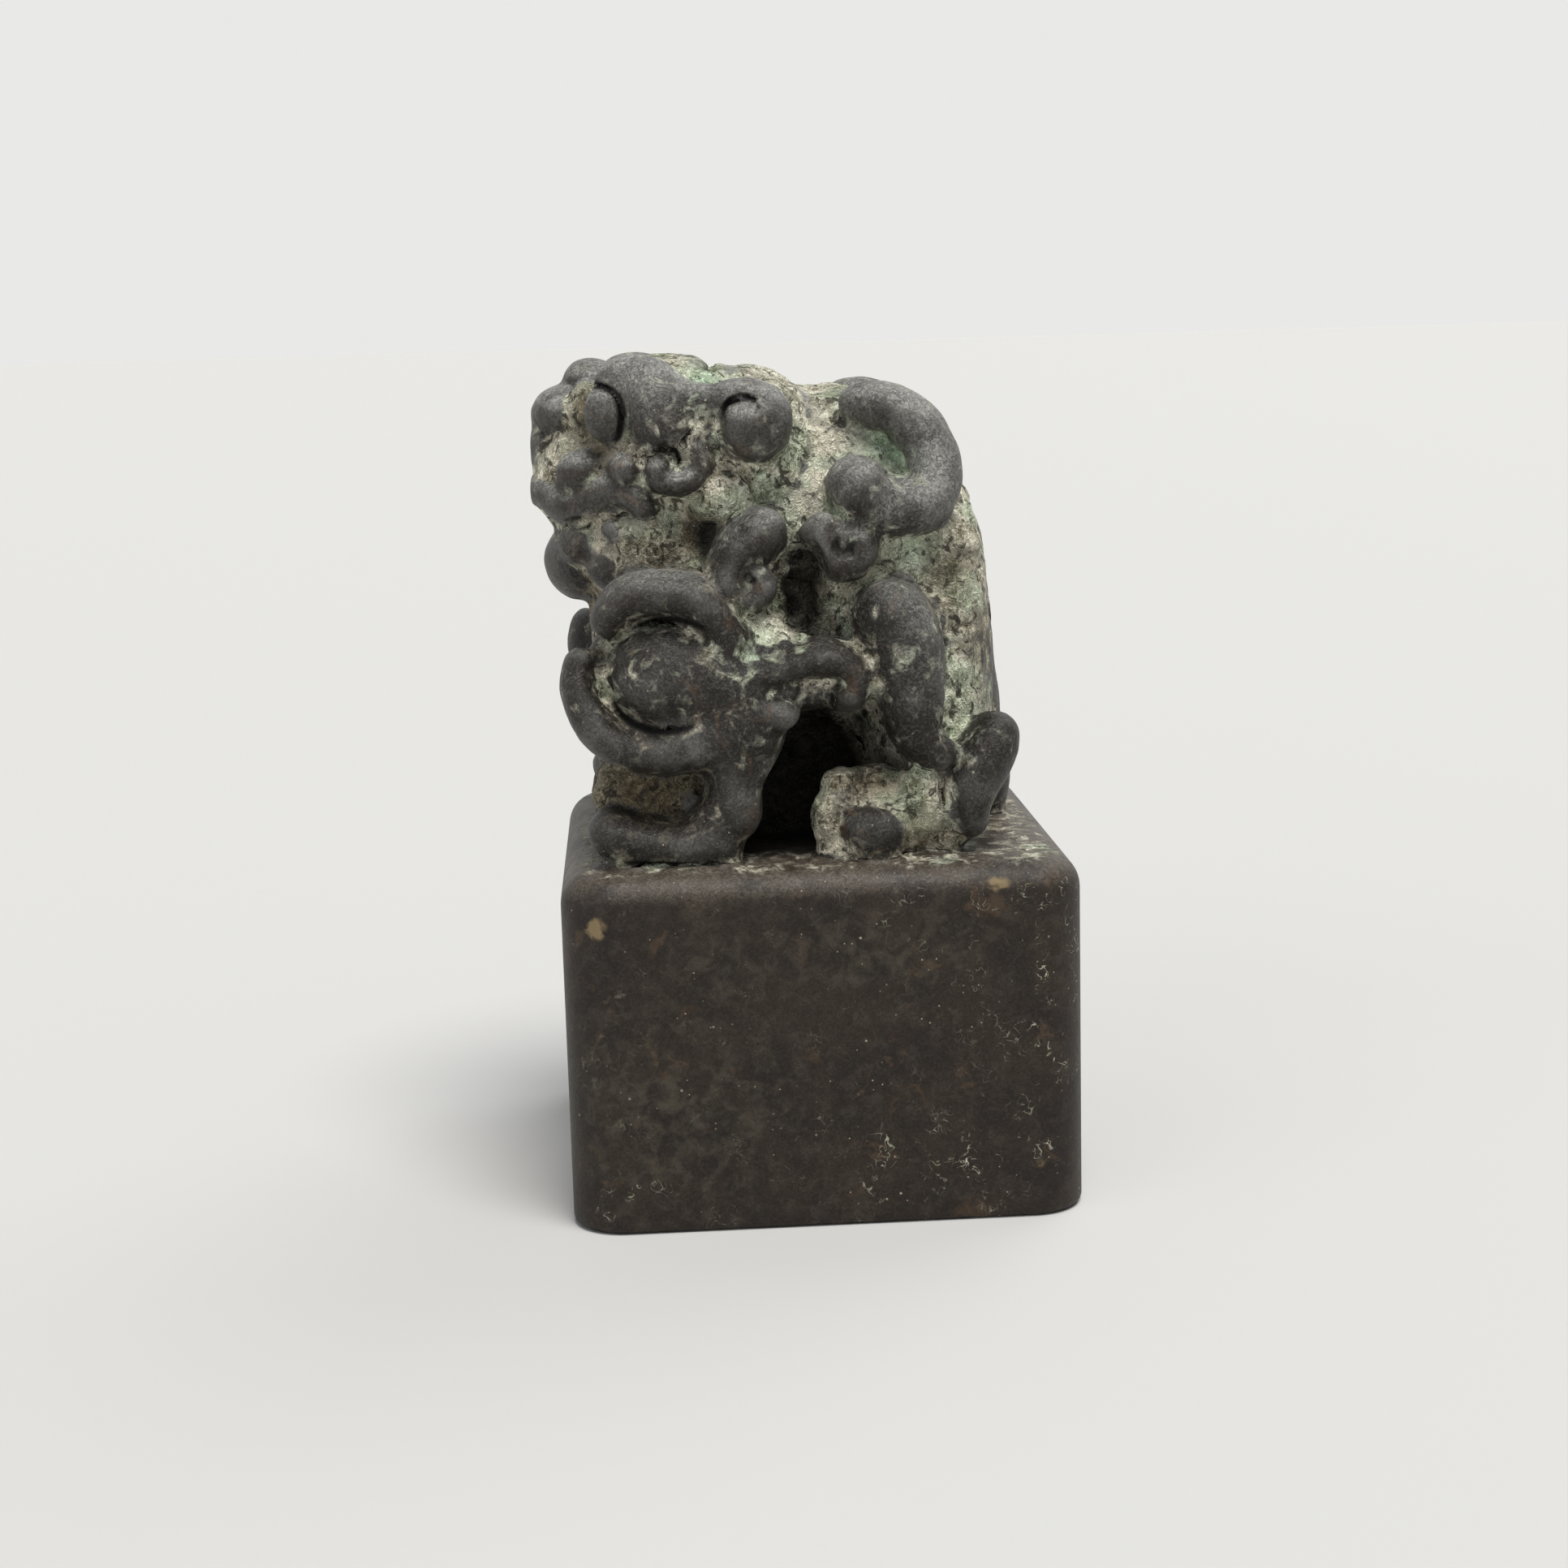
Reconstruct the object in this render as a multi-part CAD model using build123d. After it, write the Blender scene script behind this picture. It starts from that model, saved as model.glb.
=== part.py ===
from build123d import *

import os

# Cast bronze seal stamp: a rounded square block with a crouching guardian beast on top.
# The beast faces -X and its photographed left side is towards -Y. The origin is the middle of the seal
# face, on the plane that prints. The wax model of such a casting is built up from masses, rolls, coils
# and beads, and each of those is one solid here, cut so that it seats on the ones laid before it.
# Places are shares of the seal's sizes: x of its width, y of its depth, and z of the beast's height above
# the block.

# Driving sizes, in millimetres.
seal_width = 25.0
seal_depth = 25.0
block_height = 17.5
beast_height = 24.0

# Block: a little narrower at the seal face, with worn edges.
block_corner_radius = 2.6
block_taper_degrees = 0.15
block_top_fillet = 1.6
block_foot_fillet = 0.4

# Seal face: a border and a plain fret, left standing by a sunk ground.
relief_depth = 0.9
border_width = 1.5
fret_line = 1.2
fret_centre = 3.4
fret_corner_shares = [
    [(0.13, 0.36), (0.35, 0.36), (0.35, -0.36), (0.13, -0.36)],
    [(0.2, 0.14), (0.2, -0.14)],
    [(0.2, 0.0), (0.35, 0.0)],
]
fret_stem_shares = [(0.0, 0.36), (0.0, -0.36)]

# How a roll's round end closes, as shares of its own end radius: how far along, and how wide.
end_shares = [(0.02, 0.2), (0.22, 0.62), (0.58, 0.9), (1.0, 1.0)]
section_pitch_share = 0.9

# Body masses, front to back.
torso_station_shares = [-0.34, -0.26, -0.08, 0.12, 0.24, 0.29]
torso_middle_shares = [0.44, 0.48, 0.555, 0.57, 0.495, 0.44]
torso_half_width = 7.5
torso_width_shares = [0.75, 0.93, 0.9, 0.97, 0.96, 0.8]
torso_half_height = 8.5
torso_height_shares = [0.6, 0.85, 0.96, 1.0, 1.0, 0.88]
torso_cap_share = 0.08
rump_radius = 8.0
rump_centre_shares = (0.24, 0.0, 0.29)
rump_stretch_shares = (0.4, 1.0, 1.08)
chest_radius = 5.0
chest_centre_shares = (-0.26, 0.0, 0.17)
chest_stretch_shares = (0.6, 1.7, 1.1)
belly_radius = 5.0
belly_centre_shares = (-0.02, 0.0, 0.07)
belly_stretch_shares = (1.3, 0.8, 0.95)
mane_radius = 3.9
mane_centre_shares = (-0.09, 0.0, 0.79)
mane_stretch_shares = (0.82, 1.8, 1.08)

# Head masses.
skull_radius = 5.0
skull_centre_shares = (-0.255, 0.0, 0.8)
skull_stretch_shares = (1.0, 1.46, 0.94)
muzzle_radius = 3.1
muzzle_centre_shares = (-0.415, 0.0, 0.755)
muzzle_stretch_shares = (0.87, 1.6, 1.0)
throat_radius = 4.2
throat_centre_shares = (-0.3, 0.0, 0.63)
throat_stretch_shares = (1.0, 1.67, 0.95)
chin_radius = 2.2
chin_centre_shares = (-0.445, 0.0, 0.58)
chin_stretch_shares = (0.8, 1.9, 0.9)
forehead_knob_radius = 1.5
forehead_knob_centre_shares = (-0.405, 0.0, 0.945)
forehead_knob_stretch_shares = (1.0, 1.4, 0.82)
nose_bridge_radius = 1.3
nose_bridge_centre_shares = (-0.48, 0.0, 0.88)
nose_bridge_stretch_shares = (1.05, 2.3, 1.0)
nose_tip_radius = 1.1
nose_tip_centre_shares = (-0.495, 0.0, 0.815)
nose_tip_stretch_shares = (1.0, 2.0, 1.3)
eye_radius = 1.2
eye_centre_shares = (-0.38, -0.24, 0.89)
eye_stretch_shares = (0.85, 0.85, 1.15)
nostril_radius = 1.25
nostril_centre_shares = (-0.43, -0.175, 0.775)
nostril_stretch_shares = (1.0, 1.1, 0.74)
cheek_bead_radius = 0.85
cheek_bead_centre_shares = (-0.345, -0.265, 0.78)
cheek_bead_stretch_shares = (0.95, 1.2, 0.9)
jowl_radius = 1.4
jowl_centre_shares = (-0.17, -0.255, 0.72)
jowl_stretch_shares = (1.25, 1.0, 0.85)

# Rolls of the head.
brow_radius = 1.75
brow_path_shares = [
    (-0.375, -0.175, 0.95),
    (-0.33, -0.215, 0.95),
    (-0.285, -0.24, 0.925),
    (-0.27, -0.26, 0.88),
    (-0.265, -0.275, 0.84),
    (-0.25, -0.28, 0.81),
]
brow_taper_shares = [0.65, 0.85, 1.0, 1.0, 0.9, 0.6]
temple_curl_radius = 0.6
temple_curl_path_shares = [
    (-0.23, -0.29, 0.83),
    (-0.22, -0.3, 0.8),
    (-0.235, -0.305, 0.77),
    (-0.26, -0.31, 0.765),
    (-0.28, -0.31, 0.78),
    (-0.275, -0.31, 0.8),
    (-0.255, -0.31, 0.8),
]
temple_curl_taper_shares = [1.1, 1.2, 1.1, 1.0, 0.9, 0.75]
temple_curl_depth_share = 1.5
ear_roll_radius = 0.85
ear_roll_path_shares = [
    (-0.175, -0.27, 0.885),
    (-0.16, -0.28, 0.92),
    (-0.13, -0.29, 0.935),
    (-0.09, -0.3, 0.93),
    (-0.06, -0.31, 0.9),
    (-0.05, -0.31, 0.86),
    (-0.065, -0.315, 0.825),
    (-0.1, -0.32, 0.81),
]
ear_roll_taper_shares = [0.8, 1.0, 1.0, 1.0, 0.95, 0.85]
ear_roll_depth_share = 2.2
ear_bead_radius = 1.15
ear_bead_centre_shares = (-0.12, -0.3, 0.865)
ear_bead_stretch_shares = (1.0, 1.4, 0.98)
lip_radius = 0.62
lip_half_path_shares = [
    (-0.51, -0.065, 0.73),
    (-0.49, -0.13, 0.725),
    (-0.46, -0.175, 0.705),
    (-0.425, -0.205, 0.71),
    (-0.395, -0.23, 0.73),
    (-0.365, -0.25, 0.74),
    (-0.335, -0.265, 0.73),
    (-0.315, -0.275, 0.71),
    (-0.31, -0.275, 0.685),
]
lip_middle_shares = (-0.515, 0.0, 0.725)
lip_taper_shares = [0.65, 0.95, 1.05, 1.05, 1.0, 1.05, 1.05, 0.95, 0.65]
mouth_heart_shares = (-0.2, 0.0, 0.68)
fang_radius = 0.48
fang_path_shares = [
    (-0.38, -0.245, 0.68),
    (-0.365, -0.26, 0.66),
    (-0.345, -0.27, 0.64),
    (-0.32, -0.275, 0.635),
]
fang_taper_shares = [0.9, 1.0, 1.0, 0.75]
fang_depth_share = 1.8

# Rolls of the mane and back.
long_lock_radius = 0.95
long_lock_path_shares = [
    (-0.055, -0.295, 0.685),
    (-0.09, -0.31, 0.65),
    (-0.135, -0.33, 0.615),
    (-0.16, -0.34, 0.575),
    (-0.155, -0.35, 0.535),
    (-0.12, -0.35, 0.52),
    (-0.09, -0.35, 0.54),
    (-0.09, -0.35, 0.565),
]
long_lock_taper_shares = [0.95, 1.0, 1.0, 0.95, 0.8, 0.68, 0.6]
long_lock_depth_share = 2.0
small_curl_radius = 0.65
small_curl_path_shares = [
    (0.045, -0.33, 0.68),
    (0.02, -0.34, 0.65),
    (0.02, -0.345, 0.615),
    (0.045, -0.35, 0.59),
    (0.08, -0.35, 0.585),
    (0.1, -0.35, 0.61),
    (0.095, -0.35, 0.635),
    (0.075, -0.35, 0.635),
]
small_curl_taper_shares = [0.8, 1.0, 1.0, 1.0, 0.9, 0.75]
small_curl_depth_share = 2.4
back_curl_radius = 1.35
back_curl_path_shares = [
    (0.08, -0.16, 0.895),
    (0.12, -0.185, 0.895),
    (0.165, -0.22, 0.885),
    (0.215, -0.25, 0.85),
    (0.245, -0.27, 0.79),
    (0.245, -0.285, 0.73),
    (0.21, -0.3, 0.695),
    (0.155, -0.31, 0.69),
    (0.11, -0.32, 0.715),
    (0.09, -0.325, 0.755),
    (0.105, -0.325, 0.785),
]
back_curl_taper_shares = [0.65, 0.9, 1.0, 1.0, 1.0, 1.05, 1.1, 1.05]
back_curl_depth_share = 1.5

# Forequarters.
shoulder_ball_radius = 2.4
shoulder_ball_centre_shares = (-0.29, -0.355, 0.375)
shoulder_ball_stretch_shares = (1.03, 0.95, 0.98)
shoulder_roll_radius = 1.1
shoulder_roll_path_shares = [
    (-0.405, -0.35, 0.46),
    (-0.385, -0.36, 0.5),
    (-0.35, -0.37, 0.53),
    (-0.295, -0.38, 0.54),
    (-0.245, -0.385, 0.535),
    (-0.205, -0.39, 0.505),
    (-0.17, -0.385, 0.46),
    (-0.135, -0.375, 0.42),
]
shoulder_roll_taper_shares = [0.65, 0.95, 1.0, 1.0, 1.0, 0.95]
shoulder_roll_depth_share = 1.9
cuff_radius = 1.0
cuff_path_shares = [
    (-0.435, -0.345, 0.435),
    (-0.45, -0.36, 0.38),
    (-0.445, -0.38, 0.335),
    (-0.42, -0.395, 0.285),
    (-0.38, -0.405, 0.25),
    (-0.32, -0.41, 0.23),
    (-0.26, -0.41, 0.23),
    (-0.21, -0.41, 0.25),
]
cuff_taper_shares = [0.65, 0.95, 1.0, 1.05, 1.1, 1.1, 1.0]
cuff_depth_share = 1.9
elbow_flame_radius = 1.05
elbow_flame_path_shares = [
    (-0.14, -0.37, 0.36),
    (-0.09, -0.38, 0.38),
    (-0.04, -0.385, 0.395),
    (0.01, -0.395, 0.405),
    (0.05, -0.4, 0.395),
    (0.075, -0.4, 0.36),
    (0.065, -0.405, 0.33),
    (0.035, -0.405, 0.325),
]
elbow_flame_taper_shares = [1.2, 1.15, 1.05, 1.0, 0.9, 0.8, 0.75]
elbow_flame_depth_share = 2.0
elbow_knob_radius = 0.95
elbow_knob_centre_shares = (-0.08, -0.405, 0.3)
elbow_knob_stretch_shares = (1.25, 1.3, 0.8)
foreleg_radius = 1.35
foreleg_path_shares = [
    (-0.165, -0.345, 0.385),
    (-0.14, -0.36, 0.32),
    (-0.135, -0.375, 0.26),
    (-0.15, -0.385, 0.205),
    (-0.16, -0.39, 0.155),
    (-0.16, -0.39, 0.1),
    (-0.155, -0.39, 0.045),
]
foreleg_taper_shares = [1.2, 1.45, 1.45, 1.15, 0.95, 0.95, 1.05]
foreleg_depth_share = 1.2
forefoot_radius = 1.0
forefoot_path_shares = [
    (-0.43, -0.395, 0.095),
    (-0.39, -0.4, 0.065),
    (-0.34, -0.405, 0.05),
    (-0.28, -0.405, 0.045),
    (-0.22, -0.405, 0.045),
    (-0.165, -0.4, 0.045),
]
forefoot_taper_shares = [0.9, 1.0, 1.0, 1.0, 1.1]
forefoot_depth_share = 1.7

# Hindquarters.
thigh_radius = 1.85
thigh_path_shares = [
    (0.1, -0.345, 0.515),
    (0.14, -0.35, 0.485),
    (0.17, -0.36, 0.43),
    (0.18, -0.37, 0.36),
    (0.185, -0.38, 0.295),
    (0.195, -0.385, 0.245),
    (0.23, -0.39, 0.21),
    (0.26, -0.39, 0.195),
]
thigh_taper_shares = [0.85, 1.05, 1.05, 0.95, 0.8, 0.6, 0.35]
thigh_depth_share = 1.3
hock_radius = 1.4
hock_path_shares = [
    (0.355, -0.335, 0.27),
    (0.345, -0.35, 0.225),
    (0.32, -0.365, 0.18),
    (0.3, -0.37, 0.135),
    (0.29, -0.37, 0.085),
    (0.295, -0.37, 0.03),
]
hock_taper_shares = [0.7, 1.0, 1.05, 0.9, 0.75, 0.7]
hock_depth_share = 1.5
hind_foot_radius = 2.3
hind_foot_centre_shares = (0.165, -0.345, 0.08)
hind_foot_stretch_shares = (1.15, 0.85, 0.76)
hind_toe_radius = 1.0
hind_toe_centre_shares = (0.1, -0.4, 0.075)
hind_toe_stretch_shares = (1.25, 0.9, 0.8)
hind_toe_tilt_degrees = 25.0
inner_toe_radius = 0.9
inner_toe_centre_shares = (0.02, -0.365, 0.075)
inner_toe_stretch_shares = (0.8, 1.1, 1.35)
tail_radius = 2.5
tail_path_shares = [
    (0.345, 0.0, 0.0),
    (0.34, 0.0, 0.1),
    (0.305, 0.0, 0.24),
    (0.285, 0.0, 0.36),
    (0.27, 0.0, 0.465),
    (0.24, 0.0, 0.56),
    (0.2, 0.0, 0.63),
]
tail_taper_shares = [0.75, 0.85, 1.0, 1.0, 0.9, 0.6]
tail_depth_share = 0.6
tail_heart_shares = (0.0, 0.0, 0.3)

near_side = (0, -1, 0)


def place(x_share, y_share, z_share):
    """The point at these shares of the seal's sizes."""
    return Vector(
        x_share * seal_width,
        y_share * seal_depth,
        block_height + z_share * beast_height,
    )


def between(shares, where):
    """The value at where, from 0 to 1, along a list whose values are evenly spaced."""
    spot = where * (len(shares) - 1)
    before = min(int(spot), len(shares) - 2)
    return shares[before] + (shares[before + 1] - shares[before]) * (spot - before)


def oval(plane, half_x, half_y):
    """An ellipse on a plane, in four quarter arcs, so that sections match corner to corner."""
    quarters = [
        EllipticalCenterArc((0, 0), half_x, half_y, start_angle=turn, arc_size=90)
        for turn in (0, 90, 180, 270)
    ]
    return plane * make_face(quarters)


def roll(path_shares, radius, taper_shares, depth_share=1.0, heart_shares=None):
    """A tapering roll along a smooth path, with round ends.

    Its sections stand up towards the left side, or away from the heart point where one is given. Their
    crest lies one radius from the path, and the depth share sets how deep they reach under it.
    """
    line = Spline(*[place(*point) for point in path_shares])
    first_radius = radius * taper_shares[0]
    last_radius = radius * taper_shares[-1]
    middle = line.length - first_radius - last_radius
    count = max(2, round(middle / (section_pitch_share * radius)))
    stations = [(first_radius * along, size) for along, size in end_shares[:-1]]
    stations += [(first_radius + middle * step / count, 1.0) for step in range(count + 1)]
    stations += [
        (line.length - last_radius * along, size) for along, size in reversed(end_shares[:-1])
    ]
    sections = []
    for along, closing in stations:
        centre = line.position_at(along, position_mode=PositionMode.LENGTH)
        tangent = line.tangent_at(along, position_mode=PositionMode.LENGTH)
        side = centre - place(*heart_shares) if heart_shares else Vector(*near_side)
        side = (side - tangent * side.dot(tangent)).normalized()
        full = radius * between(taper_shares, along / line.length)
        root = centre - side * full * (depth_share - 1)
        plane = Plane(origin=root, x_dir=side, z_dir=tangent)
        sections.append(oval(plane, full * closing * depth_share, full * closing))
    return loft(sections)


def lump(centre_shares, radius, stretch_shares, tilt_degrees=0):
    """A ball stretched along X, Y and Z, as ovals from side to side, and tilted about Y."""
    half_x, half_y, half_z = (radius * stretch for stretch in stretch_shares)
    steps = [(along - 1, size) for along, size in end_shares]
    steps += [(1 - along, size) for along, size in reversed(end_shares[:-1])]
    sections = []
    for offset, size in steps:
        plane = Plane(origin=(0, half_y * offset, 0), x_dir=(1, 0, 0), z_dir=(0, 1, 0))
        sections.append(oval(plane, half_x * size, half_z * size))
    return Location(place(*centre_shares), (0, tilt_degrees, 0)) * loft(sections)


def fret_strokes(size):
    """The raised lines of the seal face, the same on both sides of a stem."""
    paths = [[(x * size, y * size) for x, y in points] for points in fret_corner_shares]
    paths += [[(-x, y) for x, y in points] for points in paths]
    paths.append([(x * size, y * size) for x, y in fret_stem_shares])
    strokes = Rectangle(fret_centre, fret_centre)
    for points in paths:
        strokes += trace(Polyline(*points), line_width=fret_line)
    return strokes


def seal_block():
    """The block, with soft edges and the seal face cut in relief."""
    outline = RectangleRounded(seal_width, seal_depth, block_corner_radius)
    block = extrude(outline, block_height, taper=-block_taper_degrees)
    block = fillet(block.edges().group_by(Axis.Z)[-1], block_top_fillet)
    block = fillet(block.edges().group_by(Axis.Z)[0], block_foot_fillet)
    ground_size = seal_width - 2 * border_width
    ground = RectangleRounded(
        ground_size, seal_depth - 2 * border_width, block_corner_radius - border_width / 2
    )
    sunk = extrude(ground - fret_strokes(ground_size), relief_depth)
    return block - sunk


def torso():
    """The trunk, as ovals from chest to haunches, closed by a round cap at each end."""
    stations = list(
        zip(torso_station_shares, torso_middle_shares, torso_width_shares, torso_height_shares)
    )
    caps = []
    for outward, (x_share, z_share, width_share, height_share) in ((-1, stations[0]), (1, stations[-1])):
        for along, size in end_shares[:-1]:
            beyond = x_share + outward * torso_cap_share * (1 - along)
            caps.append((beyond, z_share, width_share * size, height_share * size))
    ovals = []
    for x_share, z_share, width_share, height_share in sorted(caps + stations):
        plane = Plane(origin=place(x_share, 0, z_share), x_dir=(0, 1, 0), z_dir=(1, 0, 0))
        ovals.append(oval(plane, torso_half_width * width_share, torso_half_height * height_share))
    return loft(ovals)


def upper_lip():
    """The wavy lip, which runs round the whole muzzle from one mouth corner to the other."""
    near = lip_half_path_shares
    far = [(x, -y, z) for x, y, z in near]
    path = near[::-1] + [lip_middle_shares] + far
    return roll(path, lip_radius, lip_taper_shares, heart_shares=mouth_heart_shares)


beast = {}
bounds = {}
nodes = {}


def overlaps(one, other):
    """Whether two boxes meet."""
    return all(
        getattr(one.min, axis) < getattr(other.max, axis)
        and getattr(other.min, axis) < getattr(one.max, axis)
        for axis in ("X", "Y", "Z")
    )


def keep(name, solid):
    """Note a finished solid and its box, for the pieces laid after it."""
    beast[name] = solid
    bounds[name] = solid.bounding_box()


def cut_to_seat(shape):
    """The shape with the pieces already there cut out of it; its largest solid stays."""
    box = shape.bounding_box()
    under = [beast[key] for key in beast if overlaps(box, bounds[key])]
    for piece in under:
        shape = (shape - piece).solids().sort_by(SortBy.VOLUME)[-1]
    return shape


def seat(name, shape):
    """Seat a piece that lies across the middle plane."""
    solid = cut_to_seat(shape)
    keep(name, solid)
    nodes[name] = solid


def seat_pair(name, shape, one_node=False):
    """Seat a piece of the left side, and lay its mirror image on the right side."""
    near = cut_to_seat(shape)
    far = mirror(near, about=Plane.XZ)
    keep("left_" + name, near)
    keep("right_" + name, far)
    if one_node:
        nodes[name + "s"] = Compound([near, far])
    else:
        nodes["left_" + name] = near
        nodes["right_" + name] = far


seat("seal_block", seal_block())
seat("torso", torso())
seat("rump", lump(rump_centre_shares, rump_radius, rump_stretch_shares))
seat("chest", lump(chest_centre_shares, chest_radius, chest_stretch_shares))
seat("belly", lump(belly_centre_shares, belly_radius, belly_stretch_shares))
seat("mane", lump(mane_centre_shares, mane_radius, mane_stretch_shares))
seat("skull", lump(skull_centre_shares, skull_radius, skull_stretch_shares))
seat("muzzle", lump(muzzle_centre_shares, muzzle_radius, muzzle_stretch_shares))
seat("throat", lump(throat_centre_shares, throat_radius, throat_stretch_shares))
seat("chin", lump(chin_centre_shares, chin_radius, chin_stretch_shares))
seat(
    "forehead_knob",
    lump(forehead_knob_centre_shares, forehead_knob_radius, forehead_knob_stretch_shares),
)
seat("nose_bridge", lump(nose_bridge_centre_shares, nose_bridge_radius, nose_bridge_stretch_shares))
seat("nose_tip", lump(nose_tip_centre_shares, nose_tip_radius, nose_tip_stretch_shares))
seat_pair("eye", lump(eye_centre_shares, eye_radius, eye_stretch_shares))
seat_pair("brow", roll(brow_path_shares, brow_radius, brow_taper_shares))
seat_pair("nostril", lump(nostril_centre_shares, nostril_radius, nostril_stretch_shares), one_node=True)
seat_pair(
    "cheek_bead",
    lump(cheek_bead_centre_shares, cheek_bead_radius, cheek_bead_stretch_shares),
    one_node=True,
)
seat("upper_lip", upper_lip())
seat_pair("fang", roll(fang_path_shares, fang_radius, fang_taper_shares, fang_depth_share), one_node=True)
seat_pair("jowl", lump(jowl_centre_shares, jowl_radius, jowl_stretch_shares))
seat_pair(
    "temple_curl",
    roll(
        temple_curl_path_shares,
        temple_curl_radius,
        temple_curl_taper_shares,
        temple_curl_depth_share,
    ),
)
seat_pair("ear_bead", lump(ear_bead_centre_shares, ear_bead_radius, ear_bead_stretch_shares))
seat_pair(
    "ear_roll", roll(ear_roll_path_shares, ear_roll_radius, ear_roll_taper_shares, ear_roll_depth_share)
)
seat_pair(
    "long_lock",
    roll(long_lock_path_shares, long_lock_radius, long_lock_taper_shares, long_lock_depth_share),
)
seat_pair(
    "small_curl",
    roll(small_curl_path_shares, small_curl_radius, small_curl_taper_shares, small_curl_depth_share),
)
seat_pair(
    "back_curl",
    roll(back_curl_path_shares, back_curl_radius, back_curl_taper_shares, back_curl_depth_share),
)
seat_pair(
    "shoulder_ball",
    lump(shoulder_ball_centre_shares, shoulder_ball_radius, shoulder_ball_stretch_shares),
)
seat_pair(
    "shoulder_roll",
    roll(
        shoulder_roll_path_shares,
        shoulder_roll_radius,
        shoulder_roll_taper_shares,
        shoulder_roll_depth_share,
    ),
)
seat_pair("cuff", roll(cuff_path_shares, cuff_radius, cuff_taper_shares, cuff_depth_share))
seat_pair(
    "elbow_flame",
    roll(elbow_flame_path_shares, elbow_flame_radius, elbow_flame_taper_shares, elbow_flame_depth_share),
)
seat_pair(
    "elbow_knob",
    lump(elbow_knob_centre_shares, elbow_knob_radius, elbow_knob_stretch_shares),
    one_node=True,
)
seat_pair(
    "foreleg", roll(foreleg_path_shares, foreleg_radius, foreleg_taper_shares, foreleg_depth_share)
)
seat_pair(
    "forefoot",
    roll(forefoot_path_shares, forefoot_radius, forefoot_taper_shares, forefoot_depth_share),
)
seat_pair("thigh", roll(thigh_path_shares, thigh_radius, thigh_taper_shares, thigh_depth_share))
seat_pair("hock", roll(hock_path_shares, hock_radius, hock_taper_shares, hock_depth_share))
seat_pair("hind_foot", lump(hind_foot_centre_shares, hind_foot_radius, hind_foot_stretch_shares))
seat_pair(
    "hind_toe",
    lump(hind_toe_centre_shares, hind_toe_radius, hind_toe_stretch_shares, hind_toe_tilt_degrees),
)
seat_pair("inner_toe", lump(inner_toe_centre_shares, inner_toe_radius, inner_toe_stretch_shares))
seat(
    "tail",
    roll(tail_path_shares, tail_radius, tail_taper_shares, tail_depth_share, tail_heart_shares),
)

os.makedirs("parts", exist_ok=True)
for name, node in nodes.items():
    export_step(node, f"parts/{name}.step")
    print(name, round(node.volume, 2))
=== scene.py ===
# Cast bronze seal stamp: a rounded square block, and a crouching guardian beast on it as the grip.
# The CAD frame gives the size and the nodes. Each node is replaced here by a surface of its own, and
# all of them are then drawn onto one soft common skin, the way wax pieces melt into each other.
# Lengths are in millimetres until a mesh is made.
import math
import time
import bpy
import numpy as np
from functools import partial
from mathutils import Matrix, Vector


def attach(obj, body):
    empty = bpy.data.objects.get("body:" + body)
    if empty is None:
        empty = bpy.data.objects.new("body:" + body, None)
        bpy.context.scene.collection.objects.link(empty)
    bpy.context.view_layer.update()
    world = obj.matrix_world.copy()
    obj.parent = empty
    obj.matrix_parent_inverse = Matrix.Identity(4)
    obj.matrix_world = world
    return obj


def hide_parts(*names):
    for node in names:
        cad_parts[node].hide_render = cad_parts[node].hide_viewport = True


started = time.time()
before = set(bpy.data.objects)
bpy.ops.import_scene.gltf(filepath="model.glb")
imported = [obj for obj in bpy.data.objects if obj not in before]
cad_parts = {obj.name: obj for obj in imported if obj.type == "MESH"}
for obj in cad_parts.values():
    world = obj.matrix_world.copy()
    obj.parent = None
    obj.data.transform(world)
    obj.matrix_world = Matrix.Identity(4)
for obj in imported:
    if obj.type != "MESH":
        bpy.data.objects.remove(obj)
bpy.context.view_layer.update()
scene = bpy.context.scene
mm = 0.001


# a line for each stage, with the seconds since the start
def report(stage):
    print(f"{stage} ({time.time() - started:.1f} s)")


# the overall sizes, of which the pieces' places are shares
seal = {"width": 25.0, "depth": 25.0, "blockHeight": 17.5, "beastHeight": 24.0}


# a share triple is x of the width, y of the depth, z of the beast's height above the block
def place(shares):
    shares = np.asarray(shares, float)
    size = np.array([seal["width"], seal["depth"], seal["beastHeight"]])
    return shares * size + np.array([0.0, 0.0, seal["blockHeight"]])


# a natural cubic through the points, in the run of the straight distance between them
def smoothPath(points, count):
    gaps = np.linalg.norm(np.diff(points, axis=0), axis=1)
    runs = np.concatenate([[0.0], np.cumsum(gaps)])
    number = len(points)
    system = np.eye(number)
    right = np.zeros((number, 3))
    inner = np.arange(1, number - 1)
    system[inner, inner - 1] = gaps[:-1]
    system[inner, inner] = 2 * (gaps[:-1] + gaps[1:])
    system[inner, inner + 1] = gaps[1:]
    slopes = np.diff(points, axis=0) / gaps[:, None]
    right[1:-1] = 6 * np.diff(slopes, axis=0)
    bends = np.linalg.solve(system, right)
    where = np.linspace(0.0, runs[-1], count)
    at = np.clip(np.searchsorted(runs, where, side="right") - 1, 0, number - 2)
    gap = gaps[at][:, None]
    left = ((runs[at + 1] - where)[:, None]) / gap
    rest = 1.0 - left
    curve = (left ** 3 - left) * bends[at] + (rest ** 3 - rest) * bends[at + 1]
    return left * points[at] + rest * points[at + 1] + curve * gap ** 2 / 6


# 3-D values given along a run, read off at these places of it
def readOff(where, run, values):
    return np.stack([np.interp(where, run, values[:, i]) for i in range(3)], axis=1)


# every wax piece by its name: a lump is an oval, and a roll follows a path
lumps = {}
rolls = {}
rollStep = {"path": 0.32, "core": 0.34}    # between the points of a roll's path, and of its core


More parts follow.
